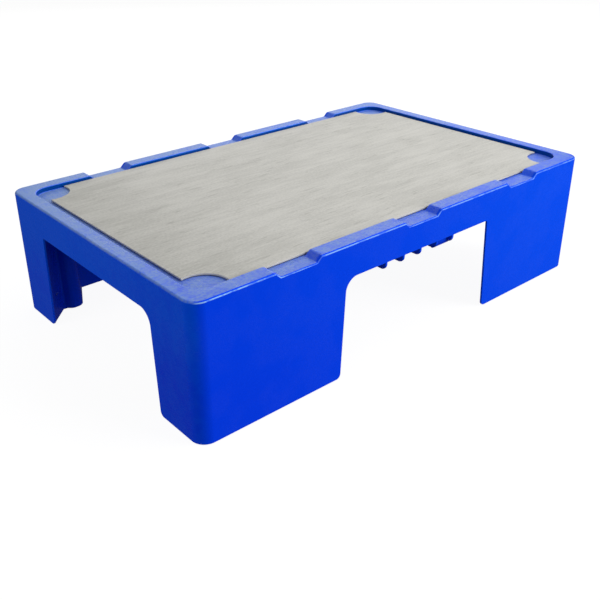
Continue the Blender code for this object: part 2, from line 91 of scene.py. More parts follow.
class Side(Enum):
    """What a face of the deck's block is, before its edges are rounded."""

    TOP = "top of the rim"
    FLOOR = "floor of the recess and of the notches"
    SLOPE = "sloping end of a notch"
    OUTER = "outer wall"
    INNER = "wall of the recess"
    UNDER = "underside"


class Slot(Enum):
    """The record's material slots."""

    PLASTIC = "moulded_plastic"
    MAT = "mat"
    RUBBER = "foot_rubber"
    STEEL = "screw_steel"
    HOOK = "hook_fastener"
    LOOP = "loop_fastener"


# Bench work: selecting, editing and cutting


def only(obj: bpy.types.Object) -> bpy.types.Object:
    """Selects one object alone and makes it the active one.

    Args:
        obj: The object to select.

    Returns:
        The same object.
    """
    bpy.ops.object.select_all(action="DESELECT")
    obj.select_set(True)
    bpy.context.view_layer.objects.active = obj
    return obj


@contextmanager
def editing(obj: bpy.types.Object) -> Iterator[None]:
    """Opens one object in edit mode with nothing selected, and closes it again.

    Args:
        obj: The object to edit.
    """
    only(obj)
    bpy.ops.object.mode_set(mode="EDIT")
    bpy.ops.mesh.select_mode(type="VERT")
    bpy.ops.mesh.select_all(action="DESELECT")
    yield
    bpy.ops.object.mode_set(mode="OBJECT")


def pick(obj: bpy.types.Object, kind: str, test: Callable[..., bool]) -> int:
    """Selects the vertices, edges or faces of an open edit mesh that pass a test, and nothing else.

    Args:
        obj: The object that is in edit mode.
        kind: VERT, EDGE or FACE.
        test: Says of one vertex, edge or face whether it is wanted.

    Returns:
        How many were selected.
    """
    bpy.ops.mesh.select_mode(type=kind)
    bpy.ops.mesh.select_all(action="DESELECT")
    bm = bmesh.from_edit_mesh(obj.data)
    bm.normal_update()
    elements = {"VERT": bm.verts, "EDGE": bm.edges, "FACE": bm.faces}[kind]
    wanted = [element for element in elements if test(element)]
    for element in wanted:
        element.select_set(True)
    bmesh.update_edit_mesh(obj.data, loop_triangles=False, destructive=False)
    return len(wanted)


def finish_modifier(obj: bpy.types.Object, kind: str, **settings: object) -> None:
    """Adds one modifier and applies it.

    Args:
        obj: The object to modify.
        kind: The modifier's type, such as BOOLEAN.
        settings: The modifier's own settings.
    """
    only(obj)
    modifier = obj.modifiers.new(kind.lower(), kind)
    for name, value in settings.items():
        setattr(modifier, name, value)
    bpy.ops.object.modifier_apply(modifier=modifier.name)


def combine(obj: bpy.types.Object, tool: bpy.types.Object, operation: str, crossing: bool = False) -> None:
    """Cuts, trims or joins an object with a tool, which is used up.

    Args:
        obj: The object that is kept.
        tool: The object that shapes it.
        operation: DIFFERENCE, INTERSECT or UNION.
        crossing: Whether the shapes of either run through each other.
    """
    finish_modifier(
        obj, "BOOLEAN", operation=operation, object=tool, solver="EXACT", use_self=crossing,
        material_mode="TRANSFER",
    )
    bpy.data.objects.remove(tool, do_unlink=True)


def join(objects: Sequence[bpy.types.Object], name: str) -> bpy.types.Object:
    """Joins objects into one, without uniting their volumes.

    Args:
        objects: The objects, of which the first stays.
        name: The name of the joined object.

    Returns:
        The joined object.
    """
    only(objects[0])
    for obj in objects:
        obj.select_set(True)
    if len(objects) > 1:
        bpy.ops.object.join()
    objects[0].name = name
    return objects[0]


def settle(obj: bpy.types.Object, name: str) -> bpy.types.Object:
    """Names an object and moves its place, turn and size into its mesh.

    Args:
        obj: The object.
        name: Its name and its mesh's.

    Returns:
        The same object.
    """
    only(obj)
    obj.name = name
    obj.data.name = name
    bpy.ops.object.transform_apply(location=True, rotation=True, scale=True)
    return obj


def add_block(name: str, low: Sequence[float], high: Sequence[float]) -> bpy.types.Object:
    """Adds a box between two corners, with its object at the origin.

    Args:
        name: The object's name.
        low: The lowest corner.
        high: The highest corner.

    Returns:
        The new object.
    """
    low, high = Vector(low), Vector(high)
    bpy.ops.object.select_all(action="DESELECT")
    bpy.ops.mesh.primitive_cube_add(size=1, location=(low + high) / 2, scale=high - low)
    return settle(bpy.context.object, name)


def add_disc(name: str, base: Sequence[float], radius: float, height: float, sides: int) -> bpy.types.Object:
    """Adds an upright cylinder, with its object at the origin.

    Args:
        name: The object's name.
        base: The middle of its lower end.
        radius: Its radius.
        height: How tall it is.
        sides: How many sides it has.

    Returns:
        The new object.
    """
    bpy.ops.object.select_all(action="DESELECT")
    centre = Vector(base) + Vector((0, 0, height / 2))
    bpy.ops.mesh.primitive_cylinder_add(vertices=sides, radius=radius, depth=height, location=centre)
    return settle(bpy.context.object, name)


def copy_to(obj: bpy.types.Object, name: str, shift: Sequence[float]) -> bpy.types.Object:
    """Copies a piece with a mesh of its own.

    Args:
        obj: The piece.
        name: The copy's name.
        shift: How far the copy lies from the piece.

    Returns:
        The copy.
    """
    twin = obj.copy()
    twin.data = obj.data.copy()
    bpy.context.scene.collection.objects.link(twin)
    twin.location = shift
    return settle(twin, name)


def is_upright(edge: bmesh.types.BMEdge) -> bool:
    """Whether an edge runs mostly along Z."""
    run = edge.verts[1].co - edge.verts[0].co
    return abs(run.z) > MOSTLY * run.length


def round_edges(radius: float, segments: int = 3) -> None:
    """Rounds the selected edges of the open edit mesh."""
    bpy.ops.mesh.bevel(
        offset=radius, offset_type="OFFSET", segments=segments, profile=0.5, affect="EDGES",
        clamp_overlap=False,
    )


def extrude(x: float, y: float, z: float) -> None:
    """Extrudes what is selected in the open edit mesh, and moves it."""
    bpy.ops.mesh.extrude_region_move(TRANSFORM_OT_translate={"value": (x, y, z)})


def round_upright(obj: bpy.types.Object, radius: float, segments: int) -> None:
    """Rounds the upright edges of a block.

    Args:
        obj: The block.
        radius: The radius of the rounding.
        segments: How many facets each corner gets.
    """
    with editing(obj):
        pick(obj, "EDGE", is_upright)
        round_edges(radius, segments)


def spread_top(obj: bpy.types.Object, factors: Sequence[float], centre: Sequence[float]) -> None:
    """Scales the upper end of a block.

    Args:
        obj: The block.
        factors: The scale along each axis.
        centre: The point that stays, at the level of the upper end.
    """
    with editing(obj):
        pick(obj, "VERT", lambda vert: vert.co.z > centre[2] - TOUCH)
        bpy.ops.transform.resize(value=factors, center_override=centre)


def merge_flat(obj: bpy.types.Object) -> None:
    """Merges the points that lie on each other, and the faces that lie in one plane.

    Args:
        obj: The object to clean.
    """
    with editing(obj):
        bpy.ops.mesh.select_all(action="SELECT")
        bpy.ops.mesh.remove_doubles(threshold=TOUCH)
        bpy.ops.mesh.dissolve_limited(angle_limit=math.radians(0.2), delimit={"MATERIAL"})


def smooth(obj: bpy.types.Object, angle: float = 35.0) -> None:
    """Shades an object smooth, and keeps its broad flats flat.

    Args:
        obj: The object.
        angle: The angle in degrees at which an edge starts to look sharp.
    """
    only(obj)
    bpy.ops.object.shade_smooth_by_angle(angle=math.radians(angle))
    finish_modifier(obj, "WEIGHTED_NORMAL", keep_sharp=True, weight=100)


def tint(obj: bpy.types.Object, material: bpy.types.Material) -> bpy.types.Object:
    """Gives a whole object one material."""
    obj.data.materials.clear()
    obj.data.materials.append(material)
    return obj


# Shader nodes


@dataclass(frozen=True)
class Signal:
    """A value that varies over a surface. Its operators add Math nodes to the material."""

    graph: "NodeGraph"
    socket: Optional[bpy.types.NodeSocket]

    def math(self, operation: str, first: "Input", second: "Input") -> "Signal":
        """Adds one Math node.

        Args:
            operation: The Math node's operation.
            first: Its first value.
            second: Its second value.

        Returns:
            The node's result.
        """
        return self.graph.node("ShaderNodeMath", {"operation": operation}, {0: first, 1: second})

    def __add__(self, other: "Input") -> "Signal":
        """Returns the sum."""
        return self.math("ADD", self, other)

    def __mul__(self, other: "Input") -> "Signal":
        """Returns the product."""
        return self.math("MULTIPLY", self, other)

    def __sub__(self, other: "Input") -> "Signal":
        """Returns the difference."""
        return self.math("SUBTRACT", self, other)

    def __rsub__(self, other: "Input") -> "Signal":
        """Returns the difference, with this signal taken away."""
        return self.math("SUBTRACT", other, self)

    def __or__(self, other: "Input") -> "Signal":
        """Returns the greater of the two."""
        return self.math("MAXIMUM", self, other)

    __radd__ = __add__
    __rmul__ = __mul__

    def swing(self, strength: float) -> "Signal":
        """How far a pattern stands above or below its middle, at a strength."""
        return (self - 0.5) * strength


Input = Union[Signal, float, Sequence[float]]


@dataclass(frozen=True)
class Pattern:
    """A noise pattern: the size of its features, its finer layers, and its turn about Z in radians."""

    sizes: Union[float, Point]
    detail: float = 2.0
    roughness: float = 0.5
    turn: float = 0.0


@dataclass(frozen=True)
class Ramp:
    """A smooth step: the value where it starts, the value where it ends, and what those two become."""

    low: float
    high: float
    start: float = 0.0
    end: float = 1.0


@dataclass
class NodeGraph:
    """One node tree, and the few ways in which its nodes are added."""

    tree: bpy.types.NodeTree

    @classmethod
    def of(cls, owner: Union[bpy.types.Material, bpy.types.World]) -> "NodeGraph":
        """Starts the empty node tree of a material or of the world."""
        owner.use_nodes = True
        owner.node_tree.nodes.clear()
        return cls(owner.node_tree)

    def node(self, kind: str, settings: dict, sockets: dict, output: Union[int, str] = 0) -> Signal:
        """Adds one node.

        Args:
            kind: The node's type.
            settings: The node's own settings.
            sockets: A value or a signal for each socket, by name or number.
            output: Which of the node's outputs is wanted.

        Returns:
            The wanted output, with no socket where the node has no outputs.
        """
        node = self.tree.nodes.new(kind)
        for name, value in settings.items():
            setattr(node, name, value)
        for name, value in sockets.items():
            if isinstance(value, Signal):
                self.tree.links.new(value.socket, node.inputs[name])
            else:
                node.inputs[name].default_value = value
        return Signal(self, node.outputs[output] if len(node.outputs) else None)

    def noise(self, pattern: Pattern) -> Signal:
        """Lays a noise pattern on the piece.

        Args:
            pattern: The pattern, whose sizes are one number or one along each axis, in metres.

        Returns:
            The noise, from 0 to 1.
        """
        sizes = (pattern.sizes,) * 3 if isinstance(pattern.sizes, float) else pattern.sizes
        own = self.node("ShaderNodeTexCoord", {}, {}, "Object")
        place = {"Vector": own, "Scale": sizes, "Rotation": (0, 0, pattern.turn)}
        place = self.node("ShaderNodeMapping", {"vector_type": "TEXTURE"}, place)
        sockets = {"Vector": place, "Scale": 1, "Detail": pattern.detail, "Roughness": pattern.roughness}
        return self.node("ShaderNodeTexNoise", {}, sockets)

    def along(self, axis: str) -> Signal:
        """The place on the piece along one axis, in metres."""
        own = self.node("ShaderNodeTexCoord", {}, {}, "Object")
        return self.node("ShaderNodeSeparateXYZ", {}, {"Vector": own}, axis)

    def upward(self) -> Signal:
        """How far the surface looks up: 1 on a level top, 0 on an upright wall."""
        normal = self.node("ShaderNodeNewGeometry", {}, {}, "Normal")
        return self.node("ShaderNodeSeparateXYZ", {}, {"Vector": normal}, "Z")

    def step(self, value: Signal, ramp: Ramp) -> Signal:
        """Maps a signal through a smooth step."""
        ends = {"From Min": ramp.low, "From Max": ramp.high, "To Min": ramp.start, "To Max": ramp.end}
        return self.node("ShaderNodeMapRange", {"interpolation_type": "SMOOTHSTEP"}, {"Value": value, **ends})

    def mix(self, factor: Input, first: Union[Signal, Colour], second: Union[Signal, Colour]) -> Signal:
        """A colour between two others.

        Args:
            factor: 0 for the first colour, 1 for the second.
            first: The first colour.
            second: The second colour.

        Returns:
            The mixed colour.
        """
        colours = {6: first, 7: second}
        sockets = {number: c if isinstance(c, Signal) else (*c, 1.0) for number, c in colours.items()}
        return self.node("ShaderNodeMix", {"data_type": "RGBA"}, {0: factor, **sockets}, 2)

    def bump(self, height: Signal, distance: float) -> Signal:
        """A surface normal from a height.

        Args:
            height: The height, from 0 to 1.
            distance: The height in metres that 1 stands for.

        Returns:
            The normal.
        """
        return self.node("ShaderNodeBump", {}, {"Height": height, "Distance": distance})

    def surface(self, **sockets: Input) -> None:
        """Adds the shader and the material's output.

        Args:
            sockets: A value or a signal for each socket of the shader, with _ for each space in its name.
        """
        named = {name.replace("_", " "): value for name, value in sockets.items()}
        shader = self.node("ShaderNodeBsdfPrincipled", {}, named)
        self.node("ShaderNodeOutputMaterial", {}, {"Surface": shader})


# Finishes


class Finish:
    """What every finish shares: a name, and a node material that its own paint method draws."""

    name: str

    def material(self) -> bpy.types.Material:
        """Builds the material.

        Returns:
            The node material.
        """
        material = bpy.data.materials.new(self.name)
        self.paint(NodeGraph.of(material))
        return material

    def paint(self, graph: NodeGraph) -> None:
        """Draws the finish with shader nodes."""
        raise NotImplementedError


@dataclass(frozen=True)
class MouldedPlastic(Finish):
    """Blue polyethylene: a soft gloss over fine orange peel, with painted sheen and scuffs on what faces up.

    A ramp named for faces steps on the normal's Z, the others on a place in metres or on a pattern. A
    scratch has a pair of strengths: what an upward face adds, and what every face has.
    """

    name: str = "moulded_blue"
    # The colours, in order: two ends of a tone with painted light in it, a painted sheen mixed with scuff
    # haze, painted shade in the recess, painted shade in the legs' hollows, scratches, and a painted edge
    # highlight.
    deep: Colour = (0.0, 0.047, 0.95)
    bright: Colour = (0.0, 0.105, 1.0)
    haze: Colour = (0.21, 0.345, 0.72)
    shade: Colour = (0.0, 0.05, 0.3)
    hollow: Colour = (0.0, 0.005, 0.35)
    scuff: Colour = (0.42, 0.52, 0.85)
    rubbed: Colour = (0.32, 0.58, 1.0)
    gleam: tuple[float, float, float, float] = (0.0, 0.4, 1.0, 1.0)
    specular: float = 0.3
    roughness: float = 0.27
    relief: float = 0.05 * MM
    lean: float = 0.0122

    broad: Pattern = Pattern(200 * MM, 3)
    mottle: Pattern = Pattern(16 * MM, 3, 0.6)
    speckle: Pattern = Pattern(3.4 * MM)
    streaks: Pattern = Pattern((40 * MM, 2.2 * MM, 2.2 * MM), 2, 0.6, 0.12)
    peel: Pattern = Pattern(2.4 * MM)

    rim_side: Ramp = Ramp((274 * MM) ** 2, (281 * MM) ** 2)
    rim_end: Ramp = Ramp(-438 * MM, -451 * MM)
    level_faces: Ramp = Ramp(0.88, 0.98)
    slope_faces: Ramp = Ramp(0.5, 0.66, 0, 0.45)
    round_faces: Ramp = Ramp(0.1, 0.85)
    edge_faces: tuple[Ramp, Ramp] = (Ramp(0.08, 0.3), Ramp(0.66, 0.5))

    # Painted light: the tone grows lighter along X, towards the far side and upward, and up the left end; the
    # broad and mottled parts are the plastic's own tone.
    tone_along: Ramp = Ramp(-457 * MM, 457 * MM, 0, 0.45)
    tone_across: Ramp = Ramp(-286 * MM, 286 * MM, 0, 0.4)
    tone_up: Ramp = Ramp(0, 233 * MM, 0, 0.1)
    tone_broad: Ramp = Ramp(0.3, 0.7, 0, 0.05)
    tone_end: Ramp = Ramp(80 * MM, 200 * MM, 0.12, 0.62)
    tone_mottle: float = 0.8

    # Painted sheen mixed with scuffs on what faces up: stronger towards the far side and the left end, with
    # mottle, streaks and speckle.
    worn_across: Ramp = Ramp(-286 * MM, 286 * MM, 0.38, 0.66)
    worn_along: Ramp = Ramp(457 / 3 * MM, -380 * MM, 0, 0.27)
    worn_mottle: float = 0.9
    worn_streaks: float = 0.7
    worn_speckle: float = 1.1

    # Painted highlight along the outer rounded edges of the long sides, in spots, stronger towards the left
    # end.
    rub_spots: Ramp = Ramp(0.4, 0.56, 0.25, 1)
    rub_along: Ramp = Ramp(0, -380 * MM, 0.6, 0.95)

    recess_side: Ramp = Ramp((262 * MM) ** 2, (257 * MM) ** 2)
    recess_faces: Ramp = Ramp(0.6, 0.3)
    recess_level: Ramp = Ramp(221 * MM, 223 * MM)

    inside_x: Ramp = Ramp(454 * MM, 453 * MM)
    inside_y: Ramp = Ramp(283 * MM, 282 * MM)
    inside_corner: Ramp = Ramp(727 * MM, 724 * MM)
    inside_level: Ramp = Ramp(172 * MM, 158 * MM)
    inside_faces: Ramp = Ramp(0.6, 0.2, 0, 0.75)

    scratch_sizes: Point = (45 * MM, 0.7 * MM, 0.7 * MM)
    scratch_turns: tuple[float, ...] = (0.35, -0.8, 1.5, 2.4)
    scratch_line: Ramp = Ramp(0.6, 0.68)
    scratch_patches: Pattern = Pattern(60 * MM)
    scratch_patch: Ramp = Ramp(0.4, 0.6)
    scratch_tint: tuple[float, float] = (0.6, 0.02)
    scratch_depth: tuple[float, float] = (0.8, 0.1)
    peel_depth: float = 0.6
    mottle_depth: float = 0.8
    dull_up: float = 0.14
    dull_mottle: float = 0.1
    dull_scratch: float = 0.1

    def paint(self, graph: NodeGraph) -> None:
        """Draws a tone with painted light, then painted sheen and scuffs, painted highlights, painted shade
        and scratches.

        Args:
            graph: The material's graph.
        """
        step = graph.step
        upward = graph.upward()
        x, y, z = (graph.along(axis) for axis in "XYZ")
        broad, mottle, speckle, streaks, peel = map(
            graph.noise, (self.broad, self.mottle, self.speckle, self.streaks, self.peel)
        )
        scratches = self.scratches(graph)

        side, end = step(y * y, self.rim_side), step(x, self.rim_end)
        slope = step(upward, self.slope_faces) * (1 - side)
        # The faces that get the painted sheen: level faces, the notches' slopes, and the rounding at the left
        # end.
        up = step(upward, self.level_faces) | slope | step(upward, self.round_faces) * end
        # The outer rounding of the long sides, where the painted highlight goes.
        edge = step(upward, self.edge_faces[0]) * step(upward, self.edge_faces[1]) * side
        # Painted shade on the walls of the recess, except at the left end.
        recess = step(y * y, self.recess_side) * step(upward, self.recess_faces)
        recess = recess * step(z, self.recess_level) * (1 - end)

        # A tone with painted light: lighter along X, towards the far side and upward, and up the left end,
        # over the plastic's own broad and mottled tone.
        tone = step(x, self.tone_along) + step(y, self.tone_across) + step(z, self.tone_up)
        tone = tone + step(broad, self.tone_broad)
        tone = tone + end * (step(z, self.tone_end) + mottle.swing(self.tone_mottle))
        # Painted sheen mixed with scuff haze, stronger towards the far side and the left end.
        sheen_and_wear = step(y, self.worn_across) + step(x, self.worn_along) + mottle.swing(self.worn_mottle)
        sheen_and_wear = sheen_and_wear + streaks.swing(self.worn_streaks) + speckle.swing(self.worn_speckle)
        # A painted highlight along the outer rounded edges, in spots.
        painted_highlight = step(mottle, self.rub_spots) * step(x, self.rub_along)

        base = graph.mix(tone, self.deep, self.bright)
        base = graph.mix(up * sheen_and_wear, base, self.haze)
        base = graph.mix(edge * painted_highlight, base, self.rubbed)
        base = graph.mix(recess, base, self.shade)
        # Painted shade in the legs' hollows.
        base = graph.mix(self.inside(graph, x, y, z, upward), base, self.hollow)
        base = graph.mix(scratches * (up * self.scratch_tint[0] + self.scratch_tint[1]), base, self.scuff)
        cuts = scratches * (up * self.scratch_depth[0] + self.scratch_depth[1])
        gloss = up * self.dull_up + self.roughness
        graph.surface(
            Base_Color=base,
            Roughness=gloss + mottle.swing(self.dull_mottle) + scratches * self.dull_scratch,
            Normal=graph.bump(peel * self.peel_depth + mottle * self.mottle_depth - cuts, self.relief),
            Specular_IOR_Level=self.specular,
            Specular_Tint=self.gleam,
        )

    def inside(self, graph: NodeGraph, x: Signal, y: Signal, z: Signal, upward: Signal) -> Signal:
        """Finds the hollows of the legs, behind the wall, which see little light, for painted shade.

        Args:
            graph: The material's graph.
            x: The place along the length.
            y: The place across the width.
            z: The height.
            upward: The normal's Z.

        Returns:
            The share of the painted shade.
        """
        out_x, out_y = ((place | place * -1) + z * self.lean for place in (x, y))
        behind = graph.step(out_x, self.inside_x) * graph.step(out_y, self.inside_y)
        behind = behind * graph.step(out_x + out_y, self.inside_corner) * graph.step(z, self.inside_level)
        return behind * graph.step(upward, self.inside_faces)

    def scratches(self, graph: NodeGraph) -> Signal:
        """Draws fine scratches in several directions, in patches.

        Args:
            graph: The material's graph.

        Returns:
            1 in a scratch, 0 elsewhere.
        """
        lines = [
            graph.step(graph.noise(Pattern(self.scratch_sizes, 1, turn=turn)), self.scratch_line)
            for turn in self.scratch_turns
        ]
        found = lines[0]
        for line in lines[1:]:
            found = found | line
        return found * graph.step(graph.noise(self.scratch_patches), self.scratch_patch)


@dataclass(frozen=True)
class StreakedSheet(Finish):
    """Warm grey vinyl with fine lengthwise streaks, dull, darker at its left end, with painted shade under
    its cut edge.
    """

    name: str = "mat_grey"
    dark: Colour = (0.47, 0.465, 0.425)
    light: Colour = (0.685, 0.675, 0.63)
    line: Colour = (0.36, 0.355, 0.32)
    cut: Colour = (0.62, 0.6, 0.54)
    # Painted shade at the foot of the mat's cut edge.
    under: Colour = (0.05, 0.05, 0.08)
    roughness: float = 0.6
    specular: float = 0.4
    relief: float = 0.12 * MM
    fine: Pattern = Pattern((34 * MM, 2.8 * MM, 2.8 * MM), 2, 0.6)
    coarse: Pattern = Pattern((80 * MM, 7 * MM, 7 * MM), 3, 0.6)
    patches: Pattern = Pattern((90 * MM, 30 * MM, 30 * MM))
    grain: Pattern = Pattern((5 * MM, 2.4 * MM, 2.4 * MM))
    coarse_share: float = 0.35
    patch_share: float = 0.25
    grain_share: float = 0.4
    tone_step: Ramp = Ramp(0.37, 0.63, 0, 0.6)
    # The tone is darker at the left end and lighter from there on.
    clean_along: Ramp = Ramp(-430 * MM, -180 * MM, 0, 0.4)
    line_step: Ramp = Ramp(0.4, 0.32)
    line_patches: Ramp = Ramp(0.66, 0.4)
    line_tint: float = 0.6
    line_depth: float = 0.5
    tone_depth: float = 0.5
    grain_depth: float = 0.3
    dull_coarse: float = 0.15
    side_faces: Ramp = Ramp(0.95, 0.6)
    cut_level: Ramp = Ramp(225 * MM, 225.9 * MM)

    def paint(self, graph: NodeGraph) -> None:
        """Draws the streaked top with its fine dark lines, and the cut edge with painted shade at its foot.

        Args:
            graph: The material's graph.
        """
        fine, coarse, patches, grain = map(graph.noise, (self.fine, self.coarse, self.patches, self.grain))
        tone = coarse * self.coarse_share + patches * self.patch_share + grain * self.grain_share
        lines = graph.step(fine, self.line_step) * graph.step(patches, self.line_patches)
        # The tone is darker at the left end and lighter from there on.
        lighter_past_left_end = graph.step(graph.along("X"), self.clean_along)
        base = graph.mix(graph.step(tone, self.tone_step) + lighter_past_left_end, self.dark, self.light)
        base = graph.mix(lines * self.line_tint, base, self.line)
        # The cut edge is lighter above and painted dark at its foot, a painted shadow under the mat.
        cut = graph.mix(graph.step(graph.along("Z"), self.cut_level), self.under, self.cut)
        relief = tone * self.tone_depth + grain * self.grain_depth - lines * self.line_depth
        graph.surface(
            Base_Color=graph.mix(graph.step(graph.upward(), self.side_faces), base, cut),
            Roughness=coarse.swing(self.dull_coarse) + self.roughness,
            Normal=graph.bump(relief, self.relief),
            Specular_IOR_Level=self.specular,
        )


@dataclass(frozen=True)
class BlackRubber(Finish):
    """Black rubber with a dusty bloom."""

    name: str = "foot_rubber"
    colour: Colour = (0.018, 0.018, 0.019)
    bloom: Colour = (0.06, 0.06, 0.062)
    dust: Pattern = Pattern(10 * MM, 4, 0.6)
    dusty: Ramp = Ramp(0.4, 0.75)
    grain: Pattern = Pattern(0.7 * MM)
    relief: float = 0.08 * MM
    roughness: float = 0.72
    dull_dust: float = 0.2

    def paint(self, graph: NodeGraph) -> None:
        """Draws dusty black over a fine grain.

        Args:
            graph: The material's graph.
        """
        dust = graph.noise(self.dust)
        graph.surface(
            Base_Color=graph.mix(graph.step(dust, self.dusty), self.colour, self.bloom),
            Roughness=dust * self.dull_dust + self.roughness,
            Normal=graph.bump(graph.noise(self.grain), self.relief),
        )


@dataclass(frozen=True)
class ZincSteel(Finish):
    """Bright zinc-plated steel with a faint crystalline mottle."""

    name: str = "zinc_steel"
    bright: Colour = (0.6, 0.6, 0.58)
    dull: Colour = (0.45, 0.45, 0.44)
    mottle: Pattern = Pattern(1.6 * MM, 3)
    relief: float = 0.02 * MM
    roughness: float = 0.25
    dull_mottle: float = 0.2

    def paint(self, graph: NodeGraph) -> None:
        """Draws bright metal with its mottle.

        Args:
            graph: The material's graph.
        """
        mottle = graph.noise(self.mottle)
        graph.surface(
            Base_Color=graph.mix(mottle, self.dull, self.bright),
            Metallic=1.0,
            Roughness=mottle * self.dull_mottle + self.roughness,
            Normal=graph.bump(mottle, self.relief),
        )


@dataclass(frozen=True)
class FastenerTape(Finish):
    """Black fastener tape, stiff for the hooks and fuzzy for the loops."""

    name: str
    dark: Colour
    light: Colour
    sheen: float
    fuzz: Pattern = Pattern(0.9 * MM, 3, 0.7)
    fuzzy: Ramp = Ramp(0.35, 0.7)
    relief: float = 0.1 * MM
    roughness: float = 0.7
    dull_fuzz: float = 0.2

    def paint(self, graph: NodeGraph) -> None:
        """Draws the fuzz of the tape.

        Args:
            graph: The material's graph.
        """
        fuzz = graph.noise(self.fuzz)
        graph.surface(
            Base_Color=graph.mix(graph.step(fuzz, self.fuzzy), self.dark, self.light),
            Roughness=fuzz * self.dull_fuzz + self.roughness,
            Sheen_Weight=self.sheen,
            Normal=graph.bump(fuzz, self.relief),
        )


# Pieces


def stand_for(piece: bpy.types.Object, node: str, slot: Slot, material: bpy.types.Material) -> None:
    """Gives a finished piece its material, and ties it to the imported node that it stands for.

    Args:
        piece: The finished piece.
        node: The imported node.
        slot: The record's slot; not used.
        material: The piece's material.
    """
    tint(piece, material)
    body = next(name for name, nodes in frame["record"]["behaviour"]["bodies"].items() if node in nodes)
    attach(piece, body)
    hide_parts(node)
    log.info("%s: %d faces, on the body %s", piece.name, len(piece.data.polygons), body)


def four_alike(
    kind: str, model: Callable[[Vector, Vector], bpy.types.Object]
) -> dict[str, bpy.types.Object]:
    """Models a piece at the near left leg and copies it to the three others.

    Args:
        kind: What the names of its nodes start with.
        model: Makes the piece from the lowest and the highest corner of its box.

    Returns:
        The four pieces by the node that each stands for.
    """
    first, *others = (f"{kind}_{leg.label}" for leg in Leg)
    low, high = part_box(first)
    made = {first: settle(model(low, high), f"{first}_piece")}
    for node in others:
        made[node] = copy_to(made[first], f"{node}_piece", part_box(node)[0] - low)
    return made


